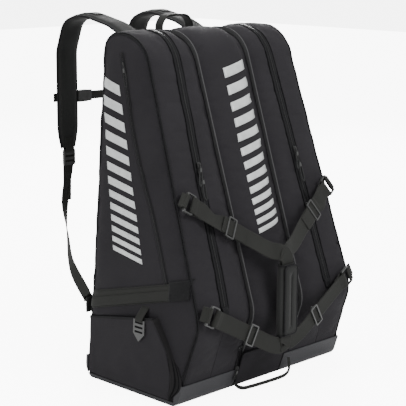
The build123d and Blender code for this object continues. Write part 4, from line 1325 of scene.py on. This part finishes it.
points = []
for (y, z), out in zip(rear_path, rear_out):
    for k in range(PAD_COLUMNS):
        x = lerp(-PAD_HALF, PAD_HALF, k / (PAD_COLUMNS - 1))
        rim = min(1.0, (PAD_HALF - abs(x)) / 16) * min(1.0, (z - PAD_LOW) / 16, (PAD_HIGH - z) / 16)
        quilt = channel(x, (-42, 42), 11) * channel(z, (212, 355, 498), 11)
        rise = 2.0 + (PAD_DEPTH - 2.0) * (max(0.0, rim) ** 0.45) * (0.42 + 0.58 * (1 - (1 - quilt) ** 2) ** 0.5)
        points.append((x, y + out[0] * rise, z + out[1] * rise))
pad = new_object("back_panel_pad", points, grid_faces(len(rear_path), PAD_COLUMNS, flip=True), MAT["mesh"])
place(pad, "bag_body", "back_mesh", "back_pad")
rim = [(-PAD_HALF, z) for z in np.linspace(PAD_LOW, PAD_HIGH, 40)]
rim += [(x, PAD_HIGH) for x in np.linspace(-PAD_HALF, PAD_HALF, 16)[1:]]
rim += [(PAD_HALF, z) for z in np.linspace(PAD_HIGH, PAD_LOW, 40)[1:]]
rim += [(x, PAD_LOW) for x in np.linspace(PAD_HALF, -PAD_HALF, 16)[1:]]


def rear_y(z):
    return float(np.interp(z, REAR[:, 1], REAR[:, 0]))


rim_line = [(x, rear_y(z) + 1.6, z) for x, z in rim]
place(tube("back_pad_binding", rim_line, 3.0, MAT["trim"], np.tile([0, 1, 0.05], (len(rim_line), 1))), "bag_body",
      "back_mesh")

# ------------------------------------------------------------------ zip sliders and pulls


def rounded_plate(name, centre, along, across, out, size, radius, material, rim=0.7):
    """A small plate with rounded corners and softened edges, size being length, width, height."""
    outline = rounded_box(size[0], size[1], radius, 4)
    points = []
    for shrink, level in ((rim, -0.5), (0.0, -0.5 + rim / size[2]), (0.0, 0.5 - rim / size[2]), (rim, 0.5)):
        points += [centre + along * (u * (1 - 2 * shrink / size[0])) + across * (v * (1 - 2 * shrink / size[1]))
                   + out * level * size[2] for u, v in outline]
    count = len(outline)
    faces = grid_faces(4, count, wrap=True)
    faces += [tuple(range(count))[::-1], tuple(range(3 * count, 4 * count))]
    made = new_object(name, points, faces, material, smooth=False)
    mesh = bmesh.new()
    mesh.from_mesh(made.data)
    bmesh.ops.recalc_face_normals(mesh, faces=mesh.faces[:])
    mesh.to_mesh(made.data)
    mesh.free()
    return made


def join(name, parts):
    """Several meshes as one piece."""
    mesh = bmesh.new()
    slots = []
    for part in parts:
        for material in part.data.materials:
            if material not in slots:
                slots.append(material)
        first = len(mesh.faces)
        mesh.from_mesh(part.data)
        mesh.faces.ensure_lookup_table()
        index = slots.index(part.data.materials[0])
        for face in mesh.faces[first:]:
            face.material_index = index
        bpy.data.objects.remove(part)
    data = bpy.data.meshes.new(name)
    mesh.to_mesh(data)
    mesh.free()
    for material in slots:
        data.materials.append(material)
    made = bpy.data.objects.new(name, data)
    bpy.context.scene.collection.objects.link(made)
    return made


def slider_body(name, centre, along, across, out, size=1.0):
    """Two plates, the bridge between them and the arch that holds the pull."""
    plate = rounded_plate("plate", centre + out * 1.9, along, across, out, (13.5 * size, 8.6 * size, 1.7), 2.6,
                          MAT["metal"])
    lower = rounded_plate("lower", centre - out * 0.6, along, across, out, (12 * size, 7.6 * size, 1.3), 2.2,
                          MAT["metal"])
    arch = [centre - along * 4.2 * size + out * 2.2, centre - along * 3.4 * size + out * 4.3,
            centre + out * 4.9, centre + along * 3.6 * size + out * 4.2, centre + along * 4.4 * size + out * 2.2]
    bridge = tube("bridge", catmull(arch, 6), 1.15, MAT["metal"], np.tile(across, (25, 1)))
    return join(name, [plate, lower, bridge])


def cord_pull(name, start, along, across, out, length, droop=0.0, width=7.5, spread=0.0):
    """A cord doubled into a loop, with a moulded end."""
    aim = unit(along + across * spread)
    half = width / 2
    loop = [start, start + aim * length * 0.14 + across * half * 0.55 + out * 1.0,
            start + aim * length * 0.6 + across * half - out * droop,
            start + aim * length * 0.92 + across * half * 0.8 - out * droop,
            start + aim * length - out * droop,
            start + aim * length * 0.92 - across * half * 0.8 - out * droop,
            start + aim * length * 0.6 - across * half - out * droop,
            start + aim * length * 0.14 - across * half * 0.55 + out * 1.0, start]
    line = catmull(loop, 7)
    cord = tube("cord", line, 1.35, MAT["cord"], np.tile(out, (len(line), 1)))
    knot = rounded_plate("knot", start + aim * length * 0.2 + out * 0.6, aim, across, out, (9, 5.6, 3.6), 2.2,
                         MAT["plastic"])
    return join(name, [cord, knot])


SLIDER_Z = {"lower": 476, "upper": 494}
for name, side in SIDES:
    for level, z in SLIDER_Z.items():
        hit, _ = on_front(side * zip_x(z), z)
        base = np.array([side * zip_x(z), -207 + 0.327 * (z - 180), z])
        along = unit(np.array([side * SIDE_LEAN, -0.327, -1]))
        out = unit(FRONT_FACE - along * (FRONT_FACE @ along))
        across = np.cross(out, along)
        centre = base + out * 1.2
        body = slider_body(f"{name}_{level}_zip_slider", centre, along, across, out)
        place(body, f"{name}_{level}_slider", "slider_metal", f"{name}_{level}_slider")
        start = centre + along * 7.0 + out * 3.6
        if level == "lower":
            pull = cord_pull(f"{name}_lower_zip_pull", start + along * 0.8, along, across, out, 47, 0.4)
            place(pull, f"{name}_lower_pull", "pull_cord", f"{name}_lower_pull")
        else:
            pull = cord_pull(f"{name}_upper_zip_pull", start - along * 4 + out * 1.2, along, across, out, 42, -1.5,
                             7, -0.28)
            place(pull, f"{name}_upper_slider", "pull_cord")

    lean = math.atan(SIDE_LEAN)
    out = np.array([side * math.cos(lean), 0, math.sin(lean)])
    up = np.array([-side * math.sin(lean), 0, math.cos(lean)])
    top = np.array([side * HALF_WIDTH, 0, 0]) + np.array([0, 40, 0]) + up * 700
    low = np.array([side * HALF_WIDTH, 0, 0]) + np.array([0, -108, 0]) + up * 257
    along = unit(low - top)
    across = np.cross(out, along)
    centre = top + out * 3.0
    body = slider_body(f"{name}_side_zip_slider", centre, along, across, out, 0.95)
    place(body, f"{name}_side_slider", "slider_metal", f"{name}_side_slider")
    pull = cord_pull(f"{name}_side_zip_pull", centre + along * 5 + out * 3.8, along, across, out, 42, 1.4, 8, 0.16 * side)
    place(pull, f"{name}_side_slider", "pull_cord")

# ------------------------------------------------------------------ shoe pocket
FLAP_LEFT, FLAP_RIGHT, FLAP_LOW, FLAP_HIGH = -86, 60, 6, 86
SHOE_COLUMNS, SHOE_ROWS = 34, 20
low_rows = [i for i in range(ROWS) if FLAP_LOW <= FRONT[i][1] <= FLAP_HIGH]
low_path = np.vstack([[np.interp(FLAP_LOW, FRONT[:, 1], FRONT[:, 0]), FLAP_LOW], FRONT[low_rows],
                      [np.interp(FLAP_HIGH, FRONT[:, 1], FRONT[:, 0]), FLAP_HIGH]])
low_path = resample(low_path, SHOE_ROWS)
low_out = outward(low_path, 1)
points = []
for i, ((y, z), out) in enumerate(zip(low_path, low_out)):
    v = i / (SHOE_ROWS - 1)
    for j in range(SHOE_COLUMNS):
        u = j / (SHOE_COLUMNS - 1)
        x = lerp(FLAP_LEFT, FLAP_RIGHT, u)
        puff = (16 * u * (1 - u) * v * (1 - v)) ** 0.5
        rise = 2.6 + 2.6 * puff + 0.9 * puff * noise.noise(Vector((x * 0.03, z * 0.05, 5.0)))
        points.append((x, y + out[0] * rise, z + out[1] * rise))
shoe = new_object("shoe_pocket_flap", points, grid_faces(SHOE_ROWS, SHOE_COLUMNS), MAT["front"])
solid = shoe.modifiers.new("thickness", "SOLIDIFY")
solid.thickness = 1.9 * MM
solid.offset = -1
soft = shoe.modifiers.new("soften", "SUBSURF")
soft.levels = soft.render_levels = 1
place(shoe, "shoe_flap", "shell_fabric", "shoe_flap")


def shoe_point(x, i, lift):
    (y, z), out = low_path[i], low_out[i]
    return np.array([x, y + out[0] * lift, z + out[1] * lift])


border = [shoe_point(FLAP_LEFT + 1, i, 2.4) for i in range(SHOE_ROWS)]
border += [shoe_point(x, SHOE_ROWS - 1, 2.4) for x in np.linspace(FLAP_LEFT + 1, FLAP_RIGHT - 1, 20)[1:]]
border += [shoe_point(FLAP_RIGHT - 1, i, 2.4) for i in range(SHOE_ROWS - 2, -1, -1)]
place(tube("shoe_flap_binding", border, 1.8, MAT["trim"]), "shoe_flap", "shell_fabric")
row = [shoe_point(x, SHOE_ROWS - 3, 3.4) for x in np.linspace(FLAP_LEFT + 8, FLAP_RIGHT - 8, 24)]
place(stitches("shoe_flap_stitches", row, np.tile((0, -1, -0.35), (len(row), 1)), MAT["thread"]), "shoe_flap",
      "shell_fabric")
SHOE_ZIP = [(-94, 16), (-94, 50), (-93, 92), (-84, 99), (50, 99), (61, 95), (64, 60)]
zip_hits = [on_front(*p) for p in catmull(SHOE_ZIP, 10)]
line = smooth_run([h[0] for h in zip_hits])
outs = np.array([h[1] for h in zip_hits])
place(sweep_profile("shoe_zip", line, outs, [(u * 0.8, v + 0.3) for u, v in LIP_PROFILE], MAT["trim"]), "bag_body",
      "shell_fabric")
place(teeth("shoe_zip_teeth", line, outs, 1, MAT["coil"], 0, 2), "bag_body", "zip_coil")
shoe_along = unit(np.array([0, 0.3556, -1.0]))
shoe_out = unit(np.array([0, -1, -0.3556]))
shoe_centre = np.array([-94, -207 + 0.3556 * 128, 52]) + shoe_out * 2.2
place(slider_body("shoe_zip_slider_body", shoe_centre, shoe_along, np.cross(shoe_out, shoe_along), shoe_out, 0.9),
      "shoe_zip_slider", "slider_metal", "shoe_zip_slider")
place(cord_pull("shoe_zip_pull", shoe_centre + shoe_along * 4 + shoe_out * 3.4, shoe_along,
                np.cross(shoe_out, shoe_along), shoe_out, 24, 0.6, 6), "shoe_zip_slider", "pull_cord")
loop = [((-92, -154, 15), FORWARD), ((-87, -171, 7.5), FORWARD), ((-60, -177.5, 6), FORWARD),
        ((24, -182, 6), FORWARD), ((56, -177, 7), FORWARD), ((69, -173, 16), FORWARD), ((74, -167, 38), FORWARD)]
place(ribbon("bottom_webbing_loop", loop, 8.6, MAT["webbing"], 1.7, 12), "bottom_loop", "webbing", "bottom_loop")

# ------------------------------------------------------------------ kept design parts: edges and finishes
KEPT = {"base_tray": ("coated", 0.8), "base_board": ("board", 0.5), "sternum_socket": ("plastic", 1.0),
        "strap_ladder_locks": ("plastic", 0.9), "sternum_plug": ("plastic", 0.9)}
for name, _ in SIDES:
    KEPT[f"{name}_divider"] = ("lining", 0.3)
    KEPT[f"{name}_hook_buckle"] = ("plastic", 0.7)
    for level in ("upper", "lower"):
        KEPT[f"{name}_{level}_ring"] = ("plastic", 1.1)
        KEPT[f"{name}_{level}_glide"] = ("plastic", 0.7)
for node, (finish, edge) in KEPT.items():
    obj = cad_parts[node]
    obj.data.materials.clear()
    obj.data.materials.append(MAT[finish])
    bevel = obj.modifiers.new("edges", "BEVEL")
    bevel.width = edge * MM
    bevel.segments = 2
    bevel.limit_method = "ANGLE"
    bevel.angle_limit = math.radians(35)
